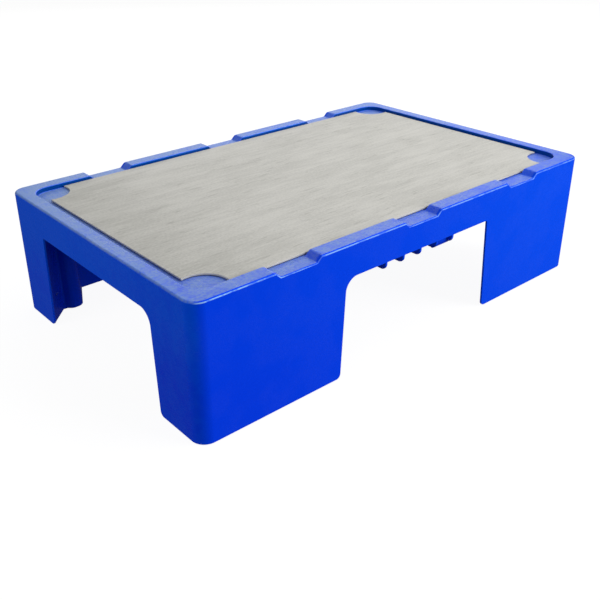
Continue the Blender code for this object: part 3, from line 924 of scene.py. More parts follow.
@dataclass
class Moulding:
    """The one-piece blue moulding: deck, rim, skirt, legs and the ribs inside."""

    node: str = "platform_body"
    draft: float = math.radians(0.7)
    wall: float = 4 * MM
    corner_radius: float = 24 * MM
    side_rim: float = 29 * MM
    end_rim: float = 25 * MM
    recess_depth: float = 9 * MM
    recess_radius: float = 30 * MM

    notch_spacing: float = 268 * MM
    notch_count: int = 3
    notch_top: float = 88 * MM
    notch_floor: float = 68.5 * MM

    side_opening: float = 345 * MM
    end_opening: float = 341 * MM
    opening_height: float = 176.5 * MM
    side_lean: float = 0.062
    end_lean: float = 0.052
    side_soft: float = 24 * MM
    end_soft: float = 24 * MM
    tight: float = 4 * MM
    foot_corner: float = 9 * MM
    flare_share: float = 1.2
    cut_edge: float = 0.8 * MM
    cut_angle: float = math.radians(40)

    rib_count: int = 5
    rib_pitch: float = 41 * MM
    rib_thickness: float = 6 * MM
    rib_edge: float = 2.4 * MM
    rib_ends: tuple[float, float] = (10 * MM, 24 * MM)
    rib_drop: float = 15.5 * MM
    thin_rib: float = 3 * MM
    tie_setback: float = 11 * MM
    tie_drop: float = 17 * MM

    web_thickness: float = 3.5 * MM
    web_past_jamb: float = 1.6 * MM
    web_gap: float = 6 * MM
    web_bend: float = 39 * MM
    flute_from: float = 52.5 * MM
    flute_to: float = 70.5 * MM
    flute_depth: float = 12 * MM
    web_radii: tuple[float, float, float] = (6 * MM, 10 * MM, 14 * MM)
    web_clearance: float = 6 * MM
    web_run: float = 37.6 * MM

    lug_size: Point = (12 * MM, 2.5 * MM, 3 * MM)
    lug_level: float = 50 * MM

    boss_radius: float = 9 * MM
    boss_sides: int = 48
    pilot_spare: float = 9 * MM
    pilot_sides: int = 32

    pocket_margin: float = 0.5 * MM
    pocket_radius: float = 6.5 * MM

    slope_least: float = 0.3
    corner_segments: int = 16
    edge_segments: int = 5
    edge_radii: dict[frozenset[Side], float] = field(
        default_factory=lambda: {
            frozenset((Side.TOP, Side.OUTER)): 4 * MM,
            frozenset((Side.TOP, Side.INNER)): 2.2 * MM,
            frozenset((Side.TOP, Side.SLOPE)): 3 * MM,
            frozenset((Side.SLOPE, Side.OUTER)): 2.6 * MM,
            frozenset((Side.SLOPE, Side.INNER)): 2 * MM,
            frozenset((Side.SLOPE, Side.FLOOR)): 2 * MM,
            frozenset((Side.FLOOR, Side.OUTER)): 2.6 * MM,
            frozenset((Side.FLOOR, Side.INNER)): 1.6 * MM,
        }
    )

    def __post_init__(self) -> None:
        """Reads the overall sizes and the feet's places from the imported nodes."""
        low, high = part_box(self.node)
        self.foot_half = Vector((high.x, high.y))
        self.foot_level = low.z
        self.top = high.z
        self.floor = self.top - self.recess_depth
        self.rib_bottom = self.opening_height - self.rib_drop
        foot_low, foot_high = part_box("foot_near_left")
        screw_low, screw_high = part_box("foot_screw_near_left")
        self.foot_centre = (foot_low + foot_high) / 2
        self.foot_radius = (foot_high.x - foot_low.x) / 2
        self.boss_bottom = foot_high.z + SEAT_GAP
        self.screw_tip = screw_high.z
        self.pilot_radius = FootSet.shank_radius + SEAT_GAP

    def outer_half(self, level: float) -> Vector:
        """Half length and half width of the leaning outer walls at a level above the floor."""
        lean = (level - self.foot_level) * math.tan(self.draft)
        return self.foot_half - Vector((lean, lean))

    def recess_half(self) -> Vector:
        """Half length and half width of the mat's recess."""
        return self.outer_half(self.top) - Vector((self.end_rim, self.side_rim))

    def drafted_block(self, name: str, low: float, high: float, inset: float) -> bpy.types.Object:
        """Makes a block whose walls lean like the platform's, with rounded corners.

        Args:
            name: The block's name.
            low: The level of its underside.
            high: The level of its top.
            inset: How far it lies inside the outer walls.

        Returns:
            The block.
        """
        shrink = Vector((inset, inset))
        foot, head = self.outer_half(low) - shrink, self.outer_half(high) - shrink
        block = add_block(name, (-foot.x, -foot.y, low), (foot.x, foot.y, high))
        spread_top(block, (head.x / foot.x, head.y / foot.y, 1), (0, 0, high))
        round_upright(block, self.corner_radius - inset, self.corner_segments)
        return block

    def recess_tool(self, grow: float = 0.0) -> bpy.types.Object:
        """Makes the block that hollows the recess.

        Args:
            grow: How far the form is moved out on every side.

        Returns:
            The cutter.
        """
        half = self.recess_half() + Vector((grow, grow))
        low, high = self.floor - grow, self.top + OVERRUN
        tool = add_block("recess", (-half.x, -half.y, low), (half.x, half.y, high))
        round_upright(tool, self.recess_radius + grow, self.corner_segments)
        return tool

    def notch_tool(self, grow: float = 0.0) -> bpy.types.Object:
        """Makes the wedges that notch the rim of both long sides.

        Args:
            grow: How far their forms are moved out on every side.

        Returns:
            The cutters, joined.
        """
        run = (self.notch_top - self.notch_floor) / 2 / self.recess_depth
        low, high = self.floor - grow, self.top + OVERRUN
        # half of the floor's width where a slope that was moved out meets the lowered floor
        half_low = self.notch_floor / 2 + grow * (math.sqrt(1 + run * run) - run)
        half_high = half_low + run * (high - low)
        inner, outer = self.recess_half().y - OVERRUN, self.foot_half.y + OVERRUN
        wedges = []
        for index in range(self.notch_count):
            centre = (index - (self.notch_count - 1) / 2) * self.notch_spacing
            for side in (-1, 1):
                near, far = sorted((side * inner, side * outer))
                wedge = add_block("notch", (centre - half_low, near, low), (centre + half_low, far, high))
                spread_top(wedge, (half_high / half_low, 1, 1), (centre, 0, high))
                wedges.append(wedge)
        return join(wedges, "notches")

    def side_of(self, face: bmesh.types.BMFace) -> Side:
        """Tells what a face of the notched block is.

        Args:
            face: The face.

        Returns:
            Its side of the block.
        """
        normal, middle = face.normal, face.calc_center_median()
        if normal.z > LEVEL:
            return Side.TOP if middle.z > self.top - TOUCH else Side.FLOOR
        if normal.z < -LEVEL:
            return Side.UNDER
        if normal.z > self.slope_least:
            return Side.SLOPE
        within = self.recess_half() + Vector((TOUCH, TOUCH))
        beyond = abs(middle.x) > within.x or abs(middle.y) > within.y
        outward = normal.x * middle.x + normal.y * middle.y > 0
        return Side.OUTER if beyond and outward else Side.INNER

    def round_rim(self, body: bpy.types.Object) -> None:
        """Rounds every edge of the rim, the recess and the notches by what meets there.

        Args:
            body: The notched block.
        """
        widest = max(self.edge_radii.values())
        with editing(body):
            bm = bmesh.from_edit_mesh(body.data)
            bm.normal_update()
            weight = bm.edges.layers.float.new("bevel_weight_edge")
            for edge in bm.edges:
                sides = frozenset(self.side_of(face) for face in edge.link_faces)
                edge[weight] = self.edge_radii.get(sides, 0.0) / widest
            bmesh.update_edit_mesh(body.data)
        finish_modifier(
            body, "BEVEL", width=widest, limit_method="WEIGHT", segments=self.edge_segments,
            use_clamp_overlap=False,
        )

    def outer_form(self) -> bpy.types.Object:
        """Makes the moulding's outer form, a solid block with its recess and notches.

        Returns:
            The block.
        """
        body = self.drafted_block("moulding", self.foot_level, self.top, 0)
        combine(body, self.recess_tool(), "DIFFERENCE")
        combine(body, self.notch_tool(), "DIFFERENCE")
        merge_flat(body)
        self.round_rim(body)
        return body

    def inner_form(self, depth: float) -> bpy.types.Object:
        """Makes the form that lies inside every outer surface, open below.

        Args:
            depth: How far inside it lies.

        Returns:
            The form.
        """
        form = self.drafted_block("inner", -OVERRUN, self.top - depth, depth)
        combine(form, self.recess_tool(depth), "DIFFERENCE")
        combine(form, self.notch_tool(depth), "DIFFERENCE")
        merge_flat(form)
        return form

    def opening_tool(self, along_x: bool, side: int, radii: tuple[float, float]) -> bpy.types.Object:
        """Makes the cutter of one opening between two legs.

        Args:
            along_x: Whether the opening looks along X, through an end wall.
            side: -1 or 1, the wall that it cuts.
            radii: The radii of its two upper corners, from the lower coordinate to the higher.

        Returns:
            The cutter.
        """
        width, lean = self.side_opening, self.side_lean
        if along_x:
            width, lean = self.end_opening, self.end_lean
        low, high = self.foot_level, self.opening_height
        half_top = width / 2
        half_foot = half_top + lean * (high - low)
        flare = self.flare_share * self.foot_corner
        reach = self.wall + OVERRUN + self.top * math.tan(self.draft)
        tool = add_block("opening", (-half_foot, -reach, low), (half_foot, reach, high))
        spread_top(tool, (half_top / half_foot, 1, 1), (0, 0, high))
        corners = [(way * half_top, high, radius) for way, radius in zip((-1, 1), radii)]
        corners += [(way * half_foot, low, self.foot_corner) for way in (-1, 1)]
        # half of the angle between two faces at a corner, which turns a radius into a bevel's width
        half_angle = (math.pi / 2 + math.atan(lean)) / 2
        with editing(tool):
            pick(tool, "FACE", lambda face: face.normal.z < -MOSTLY)
            extrude(0, 0, -OVERRUN)
            # below the leg's sole the cutter is wider, so that the leg's lower corner can be rounded
            for way in (-1, 1):
                pick(
                    tool, "FACE",
                    lambda face: face.normal.x * way > MOSTLY and face.calc_center_median().z < low,
                )
                extrude(way * flare, 0, 0)
            for across, level, radius in corners:
                pick(tool, "EDGE", lambda edge: self.lies_at(edge, across, level))
                round_edges(radius / math.tan(half_angle), self.corner_segments)
        if along_x:
            tool.rotation_euler.z = math.pi / 2
            tool.location.x = side * self.foot_half.x
        else:
            tool.location.y = side * self.foot_half.y
        return settle(tool, "opening")

    def lies_at(self, edge: bmesh.types.BMEdge, across: float, level: float) -> bool:
        """Whether both ends of an edge of a cutter lie at one place across its face and at one level."""
        return all(math.hypot(vert.co.x - across, vert.co.z - level) < TOUCH for vert in edge.verts)

    def cut_openings(self, body: bpy.types.Object) -> None:
        """Opens the walls between the legs, and breaks the sharp edges of the cuts.

        Args:
            body: The hollowed moulding.
        """
        skin = bpy.data.materials.new("skin")
        cut = bpy.data.materials.new("cut")
        tint(body, skin)
        openings = (
            (False, -1, (self.side_soft, self.tight)),
            (False, 1, (self.tight, self.side_soft)),
            (True, -1, (self.end_soft, self.tight)),
            (True, 1, (self.tight, self.end_soft)),
        )
        for along_x, side, radii in openings:
            combine(body, tint(self.opening_tool(along_x, side, radii), cut), "DIFFERENCE")
        merge_flat(body)
        cut_index = body.data.materials.find(cut.name)

        def is_cut(face: bmesh.types.BMFace) -> bool:
            """Whether a face was made by a cutter, or is the sole of a leg."""
            is_sole = face.normal.z < -LEVEL and face.calc_center_median().z < OVERRUN
            return is_sole or face.material_index == cut_index

        with editing(body):
            pick(
                body, "EDGE",
                lambda edge: edge.is_convex and any(map(is_cut, edge.link_faces))
                and edge.calc_face_angle() > self.cut_angle,
            )
            round_edges(self.cut_edge)

    def rib_places(self) -> list[float]:
        """Where the ribs lie, measured from the platform's middle."""
        middle = (self.rib_count - 1) / 2
        return [(index - middle) * self.rib_pitch for index in range(self.rib_count)]

    def ribs(self) -> list[bpy.types.Object]:
        """Makes the ribs under the deck, which are rounded at both ends, and the two tie webs.

        Returns:
            The ribs and the tie webs, before they are trimmed.
        """
        made = []
        half = self.rib_thickness / 2
        outer = self.outer_half(self.top)
        for place in self.rib_places():
            for axis, end_radius in enumerate(self.rib_ends):
                reach = outer[1 - axis] - self.wall / 2
                low, high = [-reach, -reach, self.rib_bottom], [reach, reach, self.top]
                low[axis], high[axis] = place - half, place + half
                rib = add_block("rib", low, high)
                with editing(rib):
                    self.pick_low(rib, self.rib_bottom, axis, True)
                    round_edges(end_radius, self.corner_segments)
                    self.pick_low(rib, self.rib_bottom + end_radius, axis, False)
                    round_edges(self.rib_edge, self.edge_segments)
                made.append(rib)
        first, second = self.rib_places()[-2:]
        setback = self.outer_half(self.opening_height).y - self.wall - self.tie_setback
        for side in (-1, 1):
            start, end = sorted((-side * first, -side * second))
            near, far = sorted((side * setback, side * (setback + self.thin_rib)))
            level = self.opening_height - self.tie_drop
            made.append(add_block("tie_web", (start, near, level), (end, far, self.top)))
        return made

    def pick_low(self, rib: bpy.types.Object, level: float, axis: int, across: bool) -> None:
        """Selects edges of a rib by how they run.

        Args:
            rib: The rib, in edit mode.
            level: How high the edges may reach.
            axis: The axis along which the rib is thin.
            across: Whether the edges that run from side to side are wanted, or the others.
        """

        def is_wanted(edge: bmesh.types.BMEdge) -> bool:
            """Whether the edge lies low enough and runs the wanted way."""
            first, second = (vert.co for vert in edge.verts)
            spans = abs(first[axis] - second[axis]) > TOUCH
            return max(first.z, second.z) < level + TOUCH and spans == across

        pick(rib, "EDGE", is_wanted)

    def web_path(self) -> list[tuple[float, float]]:
        """Lays out a leg's fluted web, which bends round the foot.

        Returns:
            Its corners, along and across from the leg's outer corner, from the end wall to the side wall.
        """
        inset = self.foot_centre + Vector((*self.foot_half, 0))
        jamb_lean = self.end_lean * (self.opening_height - self.foot_level)
        leg_width = self.foot_half.y - self.end_opening / 2 - jamb_lean
        bend = inset.y + self.foot_radius + self.web_gap
        return [
            (0.0, leg_width + self.web_past_jamb),
            (self.web_bend, bend),
            (self.flute_from, bend + self.flute_depth),
            (self.flute_to, bend + self.flute_depth),
            (inset.x + self.foot_radius + self.web_run, 0.0),
        ]

    def web_reach(self, axis: int) -> float:
        """Finds how far from the leg's corner the web lies, in line with the foot's centre.

        Args:
            axis: The axis along which the foot's centre is taken.

        Returns:
            The web's distance along the other axis.
        """
        place = self.foot_half[axis] - abs(self.foot_centre[axis])
        crossings = []
        path = self.web_path()
        for start, end in zip(path, path[1:]):
            run = end[axis] - start[axis]
            if run and 0 <= (place - start[axis]) / run <= 1:
                share = (place - start[axis]) / run
                crossings.append(start[1 - axis] + share * (end[1 - axis] - start[1 - axis]))
        return max(crossings)

    def web(self, path: Sequence[Vector]) -> bpy.types.Object:
        """Draws a leg's web along its path, rounds its bends and gives it its thickness.

        Args:
            path: The web's corners, seen from above.

        Returns:
            The web.
        """
        bpy.ops.object.select_all(action="DESELECT")
        bpy.ops.mesh.primitive_plane_add(size=1, location=(0.5, 0, 0.5), rotation=(math.pi / 2, 0, 0))
        web = settle(bpy.context.object, "post_web")
        low = self.foot_level + self.web_clearance
        # one upright edge of the plane is kept and drawn out along the path
        with editing(web):
            pick(web, "VERT", lambda vert: vert.co.x > 0.5)
            bpy.ops.mesh.delete(type="VERT")
            bpy.ops.mesh.select_all(action="SELECT")
            bpy.ops.transform.resize(value=(1, 1, self.top - low), center_override=(0, 0, 0))
            bpy.ops.transform.translate(value=(*path[0], low))
            for start, end in zip(path, path[1:]):
                extrude(*(end - start), 0)
            for before, bend, after, radius in zip(path, path[1:], path[2:], self.web_radii):
                turn = (before - bend).normalized().angle((after - bend).normalized())
                pick(web, "EDGE", lambda edge: all((vert.co.xy - bend).length < TOUCH for vert in edge.verts))
                round_edges(radius / math.tan(turn / 2), self.corner_segments // 2)
        finish_modifier(web, "SOLIDIFY", thickness=self.web_thickness, offset=0, use_even_offset=True)
        return web

    def lug(self, start: Vector, end: Vector) -> bpy.types.Object:
        """Makes the small lug on the first straight run of a leg's web, towards the platform's middle.

        Args:
            start: Where the run starts.
            end: Where it ends.

        Returns:
            The lug.
        """
        length, reach, thickness = self.lug_size
        depth = self.web_thickness / 2 + reach
        lug = add_block("lug", (-length / 2, 0, 0), (length / 2, depth, thickness))
        along = (end - start).normalized()
        centre = (start + end) / 2
        if Vector((-along.y, along.x)).dot(centre) > 0:
            along = -along
        lug.rotation_euler.z = math.atan2(along.y, along.x)
        lug.location = (*centre, self.lug_level)
        return settle(lug, "lug")

    def foot_place(self, leg: Leg) -> Vector:
        """The centre of a leg's foot, seen from above."""
        return leg.place(abs(self.foot_centre.x), abs(self.foot_centre.y))

    def boss(self, leg: Leg) -> list[bpy.types.Object]:
        """Makes the boss over a foot, and the ribs that hold it between the walls and the web.

        Args:
            leg: The leg.

        Returns:
            The boss and its two ribs.
        """
        x, y = self.foot_place(leg)
        low, high = self.boss_bottom, self.top
        half = self.thin_rib / 2
        wall = leg.place(*self.foot_half)
        web = leg.place(*(self.foot_half - Vector((self.web_reach(1), self.web_reach(0)))))
        low_x, high_x = sorted((wall.x, web.x))
        low_y, high_y = sorted((wall.y, web.y))
        return [
            add_disc("boss", (x, y, low), self.boss_radius, high - low, self.boss_sides),
            add_block("boss_rib", (low_x, y - half, low), (high_x, y + half, high)),
            add_block("boss_rib", (x - half, low_y, low), (x + half, high_y, high)),
        ]

    def leg_inside(self, leg: Leg) -> list[bpy.types.Object]:
        """Makes what stands inside a leg: the fluted web, its lug, and the boss with its ribs.

        Args:
            leg: The leg.

        Returns:
            The pieces, before they are trimmed.
        """
        corner = leg.place(*self.foot_half)
        path = [corner - leg.place(along, across) for along, across in self.web_path()]
        return [self.web(path), self.lug(path[0], path[1]), *self.boss(leg)]

    def inside(self) -> bpy.types.Object:
        """Makes everything that stands inside the shell, trimmed to the middle of the shell's wall.

        Returns:
            The ribs, webs, lugs and bosses as one object.
        """
        pieces = self.ribs()
        for leg in Leg:
            pieces += self.leg_inside(leg)
        inside = join(pieces, "inside")
        combine(inside, self.inner_form(self.wall / 2), "INTERSECT", crossing=True)
        return inside

    def holes(self) -> bpy.types.Object:
        """Makes the cutters of the screws' holes and of the pockets for the hook pads.

        Returns:
            The cutters, joined.
        """
        tools = []
        margin = Vector((self.pocket_margin, self.pocket_margin, 0))
        pilot_top = self.screw_tip + self.pilot_spare
        for leg in Leg:
            base = (*self.foot_place(leg), 0)
            low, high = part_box(f"hook_pad_{leg.label}")
            low, high = low - margin - Vector((0, 0, SEAT_GAP)), high + margin + Vector((0, 0, OVERRUN))
            tools.append(add_disc("pilot", base, self.pilot_radius, pilot_top, self.pilot_sides))
            tools.append(add_block("pocket", low, high))
            round_upright(tools[-1], self.pocket_radius, self.edge_segments)
        return join(tools, "holes")

    def build(self) -> bpy.types.Object:
        """Builds the moulding: the form, hollowed, opened, ribbed inside and drilled.

        Returns:
            The finished moulding.
        """
        body = self.outer_form()
        combine(body, self.inner_form(self.wall), "DIFFERENCE")
        self.cut_openings(body)
        combine(body, self.inside(), "UNION")
        combine(body, self.holes(), "DIFFERENCE")
        merge_flat(body)
        smooth(body)
        return body

    def dress(self, body: bpy.types.Object) -> None:
        """Gives the moulding its plastic and its place."""
        stand_for(settle(body, "blue_moulding"), self.node, Slot.PLASTIC, MouldedPlastic().material())


@dataclass
class TractionMat:
    """The grey mat in the recess, with a round scallop at each corner for the fingers."""

    node: str = "traction_mat"
    scallop_radius: float = 39.5 * MM
    scallop_inset: float = 10.6 * MM
    edge: float = 0.5 * MM
    edge_angle: float = math.radians(30)
    scallop_sides: int = 160

    def build(self) -> bpy.types.Object:
        """Cuts the mat and its scallops, and rounds its upper and lower edges.

        Returns:
            The finished mat.
        """
        low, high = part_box(self.node)
        mat = add_block("grey_mat", low, high)
        middle = (low + high) / 2
        reach = (high - low) / 2 - Vector((self.scallop_inset, self.scallop_inset, 0))
        height = high.z - low.z + 2 * OVERRUN
        for leg in Leg:
            base = (*(middle.xy + leg.place(reach.x, reach.y)), low.z - OVERRUN)
            disc = add_disc("scallop", base, self.scallop_radius, height, self.scallop_sides)
            combine(mat, disc, "DIFFERENCE")
        with editing(mat):
            pick(mat, "EDGE", lambda edge: edge.calc_face_angle() > self.edge_angle and not is_upright(edge))
            round_edges(self.edge)
        smooth(mat)
        return mat

    def dress(self, mat: bpy.types.Object) -> None:
        """Gives the mat its streaked sheet and its place."""
        stand_for(mat, self.node, Slot.MAT, StreakedSheet().material())


@dataclass
class FootSet:
    """The four rubber feet and the screws that hold them, each modelled once and copied."""

    edge: float = 1 * MM
    bore_radius: float = 8 * MM
    bore_depth: float = 6.8 * MM
    hole_radius: float = 2.8 * MM
    groove_widths: tuple[float, ...] = (3.2 * MM, 1.2 * MM, 3 * MM, 1.2 * MM)
    groove_depth: float = 0.8 * MM
    head_radius: float = 5.5 * MM
    head_height: float = 3.5 * MM
    head_edge: float = 1.8 * MM
    head_segments: int = 5
    shank_radius: float = 2.5 * MM
    point: float = 3 * MM
    point_share: float = 0.05
    drive_length: float = 6 * MM
    drive_width: float = 1.2 * MM
    drive_depth: float = 2 * MM
    drive_share: float = 0.7
    sides: int = 64

    def foot(self, low: Vector, high: Vector) -> bpy.types.Object:
        """Makes a rubber disc with tread grooves in its sole, and a counterbore and a hole for its screw.

        Args:
            low: The lowest corner of its box.
            high: The highest corner of its box.

        Returns:
            The foot.
        """
        radius = (high.x - low.x) / 2
        axis = (low + high) / 2
        foot = add_disc("foot", (axis.x, axis.y, low.z), radius, high.z - low.z, self.sides)
        with editing(foot):
            pick(foot, "EDGE", lambda edge: abs(edge.verts[0].co.z - edge.verts[1].co.z) < TOUCH)
            round_edges(self.edge)
            reach = radius - self.edge
            for index, width in enumerate(self.groove_widths):
                pick(foot, "FACE", lambda face: face.normal.z < -LEVEL and len(face.verts) > 4)
                bpy.ops.mesh.inset(thickness=width, depth=0)
                if index % 2:
                    pick(foot, "FACE", lambda face: self.is_ring(face, axis, reach - width, reach))
                    extrude(0, 0, self.groove_depth)
                reach -= width
        below = (axis.x, axis.y, low.z - OVERRUN)
        bore = add_disc("bore", below, self.bore_radius, OVERRUN + self.bore_depth, self.sides)
        combine(foot, bore, "DIFFERENCE")
        hole = add_disc("hole", below, self.hole_radius, 3 * OVERRUN, self.sides // 2)
        combine(foot, hole, "DIFFERENCE")
        smooth(foot)
        return foot

    def is_ring(self, face: bmesh.types.BMFace, axis: Vector, inner: float, outer: float) -> bool:
        """Tells whether a face of a sole lies between two radii.

        Args:
            face: The face.
            axis: A point of the foot's axis.
            inner: The smaller radius.
            outer: The larger radius.

        Returns:
            Whether it does.
        """
        middle = face.calc_center_median()
        away = math.hypot(middle.x - axis.x, middle.y - axis.y)
        return face.normal.z < -LEVEL and inner < away < outer and len(face.verts) == 4

    def screw(self, low: Vector, high: Vector) -> bpy.types.Object:
        """Makes a pan-head screw, head down, with a cross recess.

        Args:
            low: The lowest corner of its box.
            high: The highest corner of its box.

        Returns:
            The screw.
        """
        axis = (low + high) / 2
        base = Vector((axis.x, axis.y, low.z))
        screw = add_disc("screw", base, self.head_radius, self.head_height, self.sides // 2)
        shank = high.z - low.z - self.head_height - self.point
        with editing(screw):
            pick(screw, "EDGE", lambda edge: max(vert.co.z for vert in edge.verts) < low.z + TOUCH)
            round_edges(self.head_edge, self.head_segments)
            pick(screw, "FACE", lambda face: face.normal.z > LEVEL)
            bpy.ops.mesh.inset(thickness=self.head_radius - self.shank_radius, depth=0)
            extrude(0, 0, shank)
            extrude(0, 0, self.point)
            tip = (self.point_share, self.point_share, 1)
            bpy.ops.transform.resize(value=tip, center_override=(axis.x, axis.y, high.z))
        for length, width in ((self.drive_length, self.drive_width), (self.drive_width, self.drive_length)):
            reach = Vector((length / 2, width / 2, self.drive_depth))
            slot = add_block("drive", base - reach, base + reach)
            taper = (self.drive_share, self.drive_share, 1)
            spread_top(slot, taper, (base.x, base.y, base.z + self.drive_depth))
            combine(screw, slot, "DIFFERENCE")
        smooth(screw)
        return screw

    def build(self) -> dict[str, bpy.types.Object]:
        """The four feet and the four screws, by the node that each stands for."""
        return {**four_alike("foot", self.foot), **four_alike("foot_screw", self.screw)}

    def dress(self, made: dict[str, bpy.types.Object]) -> None:
        """Gives the feet their rubber and the screws their steel.

        Args:
            made: The pieces by the node that each stands for.
        """
        rubber, steel = BlackRubber().material(), ZincSteel().material()
        for node, piece in made.items():
            is_screw = node.startswith("foot_screw")
            stand_for(piece, node, Slot.STEEL if is_screw else Slot.RUBBER, steel if is_screw else rubber)


@dataclass
class FastenerPads:
    """The hook pads in the deck's pockets and the loop pads under the mat, each modelled once and copied."""

    corner_radius: float = 6 * MM
    corner_segments: int = 8
    backing: float = 0.35 * MM
    margin: float = 2.4 * MM
    pitch: float = 1.7 * MM
    stem: float = 0.32 * MM
    neck_share: float = 0.6
    droop_share: float = 0.2
    yarn_fineness: float = 2.4
    yarn_turn: float = 0.4
    yarn_segments: tuple[int, int] = (8, 4)
    sharp_angle: float = math.radians(40)

    def patch(self, low: Vector, high: Vector, facing: int) -> bpy.types.Object:
        """Makes one pad: a backing with rounded corners and rows of small hooks or loops.

        Args:
            low: The lowest corner of its box.
            high: The highest corner of its box.
            facing: 1 for hooks that look up, -1 for loops that look down.

        Returns:
            The pad.
        """
        level = low.z if facing > 0 else high.z - self.backing
        pad = add_block("pad", (low.x, low.y, level), (high.x, high.y, level + self.backing))
        round_upright(pad, self.corner_radius, self.corner_segments)
        height = high.z - low.z - self.backing
        root = level + self.backing if facing > 0 else level
        start = Vector((low.x + self.margin, low.y + self.margin, root))
        bristle = self.hook(start, height) if facing > 0 else self.loop(start, height)
        counts = [int((high[axis] - low[axis] - 2 * self.margin) / self.pitch) for axis in (0, 1)]
        for axis, count in enumerate(counts):
            step = [0.0, 0.0, 0.0]
            step[axis] = self.pitch
            finish_modifier(
                bristle, "ARRAY", count=count, use_relative_offset=False, use_constant_offset=True,
                constant_offset_displace=step,
            )
        pad = join([pad, bristle], "pad")
        only(pad)
        bpy.ops.object.shade_smooth_by_angle(angle=self.sharp_angle)
        return pad

    def hook(self, start: Vector, height: float) -> bpy.types.Object:
        """Makes one hook, a stem whose head bends over along X.

        Args:
            start: The middle of the stem's foot.
            height: How tall the hook is.

        Returns:
            The hook.
        """
        half = self.stem / 2
        neck = height * self.neck_share
        hook = add_block("hook", start - Vector((half, half, 0)), start + Vector((half, half, neck)))
        with editing(hook):
            pick(hook, "FACE", lambda face: face.normal.z > MOSTLY)
            extrude(half, 0, height - neck)
            pick(
                hook, "FACE",
                lambda face: face.normal.x > 0.5 and face.calc_center_median().z > start.z + neck,
            )
            extrude(self.stem, 0, -height * self.droop_share)
        return hook

    def loop(self, start: Vector, height: float) -> bpy.types.Object:
        """Makes one loop, a low arch of yarn along X that hangs below the backing.

        Args:
            start: The middle of the arch, on the backing.
            height: How far it hangs.

        Returns:
            The loop.
        """
        bpy.ops.object.select_all(action="DESELECT")
        thick = self.stem / self.yarn_fineness
        round_the_arch, round_the_yarn = self.yarn_segments
        bpy.ops.mesh.primitive_torus_add(
            major_radius=height - thick, minor_radius=thick, major_segments=round_the_arch,
            minor_segments=round_the_yarn, location=start, rotation=(math.pi / 2, 0, self.yarn_turn),
        )
        return settle(bpy.context.object, "loop")

    def build(self) -> dict[str, bpy.types.Object]:
        """The eight pads by the node that each stands for."""
        hooks = four_alike("hook_pad", lambda low, high: self.patch(low, high, 1))
        return {**hooks, **four_alike("loop_pad", lambda low, high: self.patch(low, high, -1))}

    def dress(self, made: dict[str, bpy.types.Object]) -> None:
        """Gives the pads their tapes.

        Args:
            made: The pads by the node that each stands for.
        """
        hook = FastenerTape("hook_fastener", (0.02, 0.02, 0.021), (0.06, 0.06, 0.062), 0.0).material()
        loop = FastenerTape("loop_fastener", (0.03, 0.03, 0.032), (0.1, 0.1, 0.105), 0.6).material()
        for node, piece in made.items():
            is_hook = node.startswith("hook")
            stand_for(piece, node, Slot.HOOK if is_hook else Slot.LOOP, hook if is_hook else loop)


# Studio


@dataclass(frozen=True)
class SoftBox:
    """A soft rectangular light of an even brightness."""

    name: str
    place: Point
    aim: Point
    width: float
    height: float
    brightness: float

    def build(self) -> None:
        """Hangs the light in the scene."""
        light = bpy.data.lights.new(self.name, "AREA")
        light.shape = "RECTANGLE"
        light.size = self.width
        light.size_y = self.height
        light.energy = self.brightness * math.pi * self.width * self.height
        lamp = bpy.data.objects.new(self.name, light)
        bpy.context.scene.collection.objects.link(lamp)
        lamp.location = self.place
        lamp.rotation_euler = (Vector(self.aim) - Vector(self.place)).to_track_quat("-Z", "Y").to_euler()
        lamp.visible_camera = False


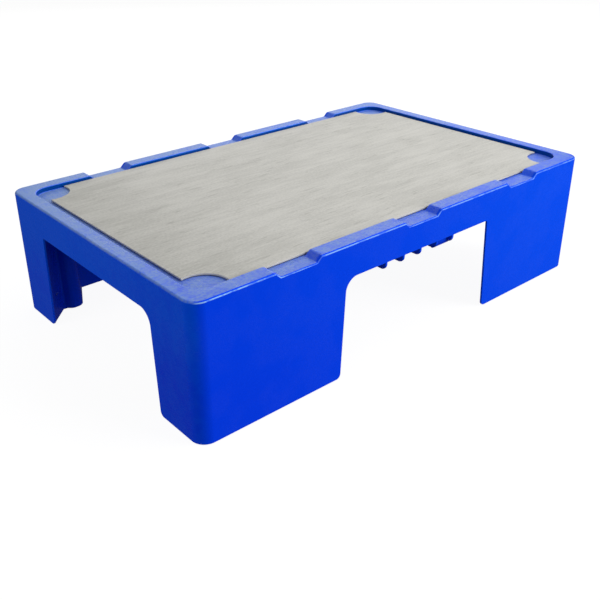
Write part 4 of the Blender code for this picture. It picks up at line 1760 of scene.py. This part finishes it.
@dataclass
class Studio:
    """White floor, soft light, and the camera at the photo's angle."""

    azimuth: float = math.radians(-39.721)
    elevation: float = math.radians(28.8745)
    roll: float = math.radians(-0.788)
    place: Point = (-0.9278, -1.0346, 0.7186)
    lens: float = 46.93
    shift: tuple[float, float] = (0.0315, 0.0079)
    floor_size: float = 40.0
    floor_shade: float = 0.12
    backdrop: float = 1.0
    surround: float = 0.22
    mirrored: float = 0.05
    boxes: tuple[SoftBox, ...] = (
        SoftBox("overhead_softbox", (1.1, -0.5, 2.2), (0.2, 0, 0.2), 2.2, 1.8, 1.7),
        SoftBox("behind_softbox", (2.2, 2.6, 1.5), (0, 0, 0.3), 3.6, 1.8, 1.8),
        SoftBox("front_right_softbox", (2.0, -2.9, 1.3), (0, 0, 0.1), 2.4, 2.2, 6.3),
        SoftBox("left_softbox", (-3.2, 0.2, 1.4), (0, 0, 0.1), 1.8, 1.8, 2.4),
    )

    def light_room(self) -> None:
        """Lights the room evenly, and shows the camera a pale backdrop."""
        world = bpy.data.worlds.new("studio")
        bpy.context.scene.world = world
        graph = NodeGraph.of(world)
        room, reflection, backdrop = (
            graph.node("ShaderNodeBackground", {}, {"Color": (1, 1, 1, 1), "Strength": strength})
            for strength in (self.surround, self.mirrored, self.backdrop)
        )
        mirrored = graph.node("ShaderNodeLightPath", {}, {}, "Is Glossy Ray")
        seen = graph.node("ShaderNodeLightPath", {}, {}, "Is Camera Ray")
        lit = graph.node("ShaderNodeMixShader", {}, {0: mirrored, 1: room, 2: reflection})
        both = graph.node("ShaderNodeMixShader", {}, {0: seen, 1: lit, 2: backdrop})
        graph.node("ShaderNodeOutputWorld", {}, {"Surface": both})

    def lay_floor(self) -> None:
        """Lays the pale floor, which is clear when it is seen from below."""
        bpy.ops.object.select_all(action="DESELECT")
        bpy.ops.mesh.primitive_plane_add(size=self.floor_size)
        floor = settle(bpy.context.object, "studio_floor")
        material = bpy.data.materials.new("studio_floor")
        graph = NodeGraph.of(material)
        pale = graph.node(
            "ShaderNodeBsdfPrincipled", {},
            {
                "Base Color": (*(self.floor_shade,) * 3, 1), "Roughness": 1.0, "Specular IOR Level": 0.0,
                "Emission Color": (1, 1, 1, 1), "Emission Strength": self.backdrop - self.floor_shade / 2,
            },
        )
        clear = graph.node("ShaderNodeBsdfTransparent", {}, {})
        below = graph.node("ShaderNodeNewGeometry", {}, {}, "Backfacing")
        either = graph.node("ShaderNodeMixShader", {}, {0: below, 1: pale, 2: clear})
        graph.node("ShaderNodeOutputMaterial", {}, {"Surface": either})
        tint(floor, material)
        floor.visible_diffuse = False
        floor.visible_glossy = False

    def set_camera(self) -> None:
        """Sets the camera where the photo was taken from."""
        level, rise = math.cos(self.elevation), math.sin(self.elevation)
        back = Vector((math.sin(self.azimuth) * level, -math.cos(self.azimuth) * level, rise))
        right = Vector((0, 0, 1)).cross(back).normalized()
        turn = Matrix((right, back.cross(right), back)).transposed() @ Matrix.Rotation(self.roll, 3, "Z")
        lens = bpy.data.cameras.new("photo_camera")
        lens.lens = self.lens
        lens.shift_x, lens.shift_y = self.shift
        camera = bpy.data.objects.new("photo_camera", lens)
        bpy.context.scene.collection.objects.link(camera)
        camera.matrix_world = Matrix.Translation(self.place) @ turn.to_4x4()
        bpy.context.scene.camera = camera

    def build(self) -> None:
        """Sets up the whole studio."""
        bpy.context.scene.view_settings.view_transform = "Standard"
        self.light_room()
        self.lay_floor()
        self.set_camera()
        for box in self.boxes:
            box.build()


def main() -> None:
    """Builds and dresses every piece, then sets up the studio."""
    logging.basicConfig(level=logging.INFO, format="%(message)s")
    for part in (Moulding(), TractionMat(), FootSet(), FastenerPads()):
        part.dress(part.build())
    Studio().build()


if __name__ == "__main__":
    main()
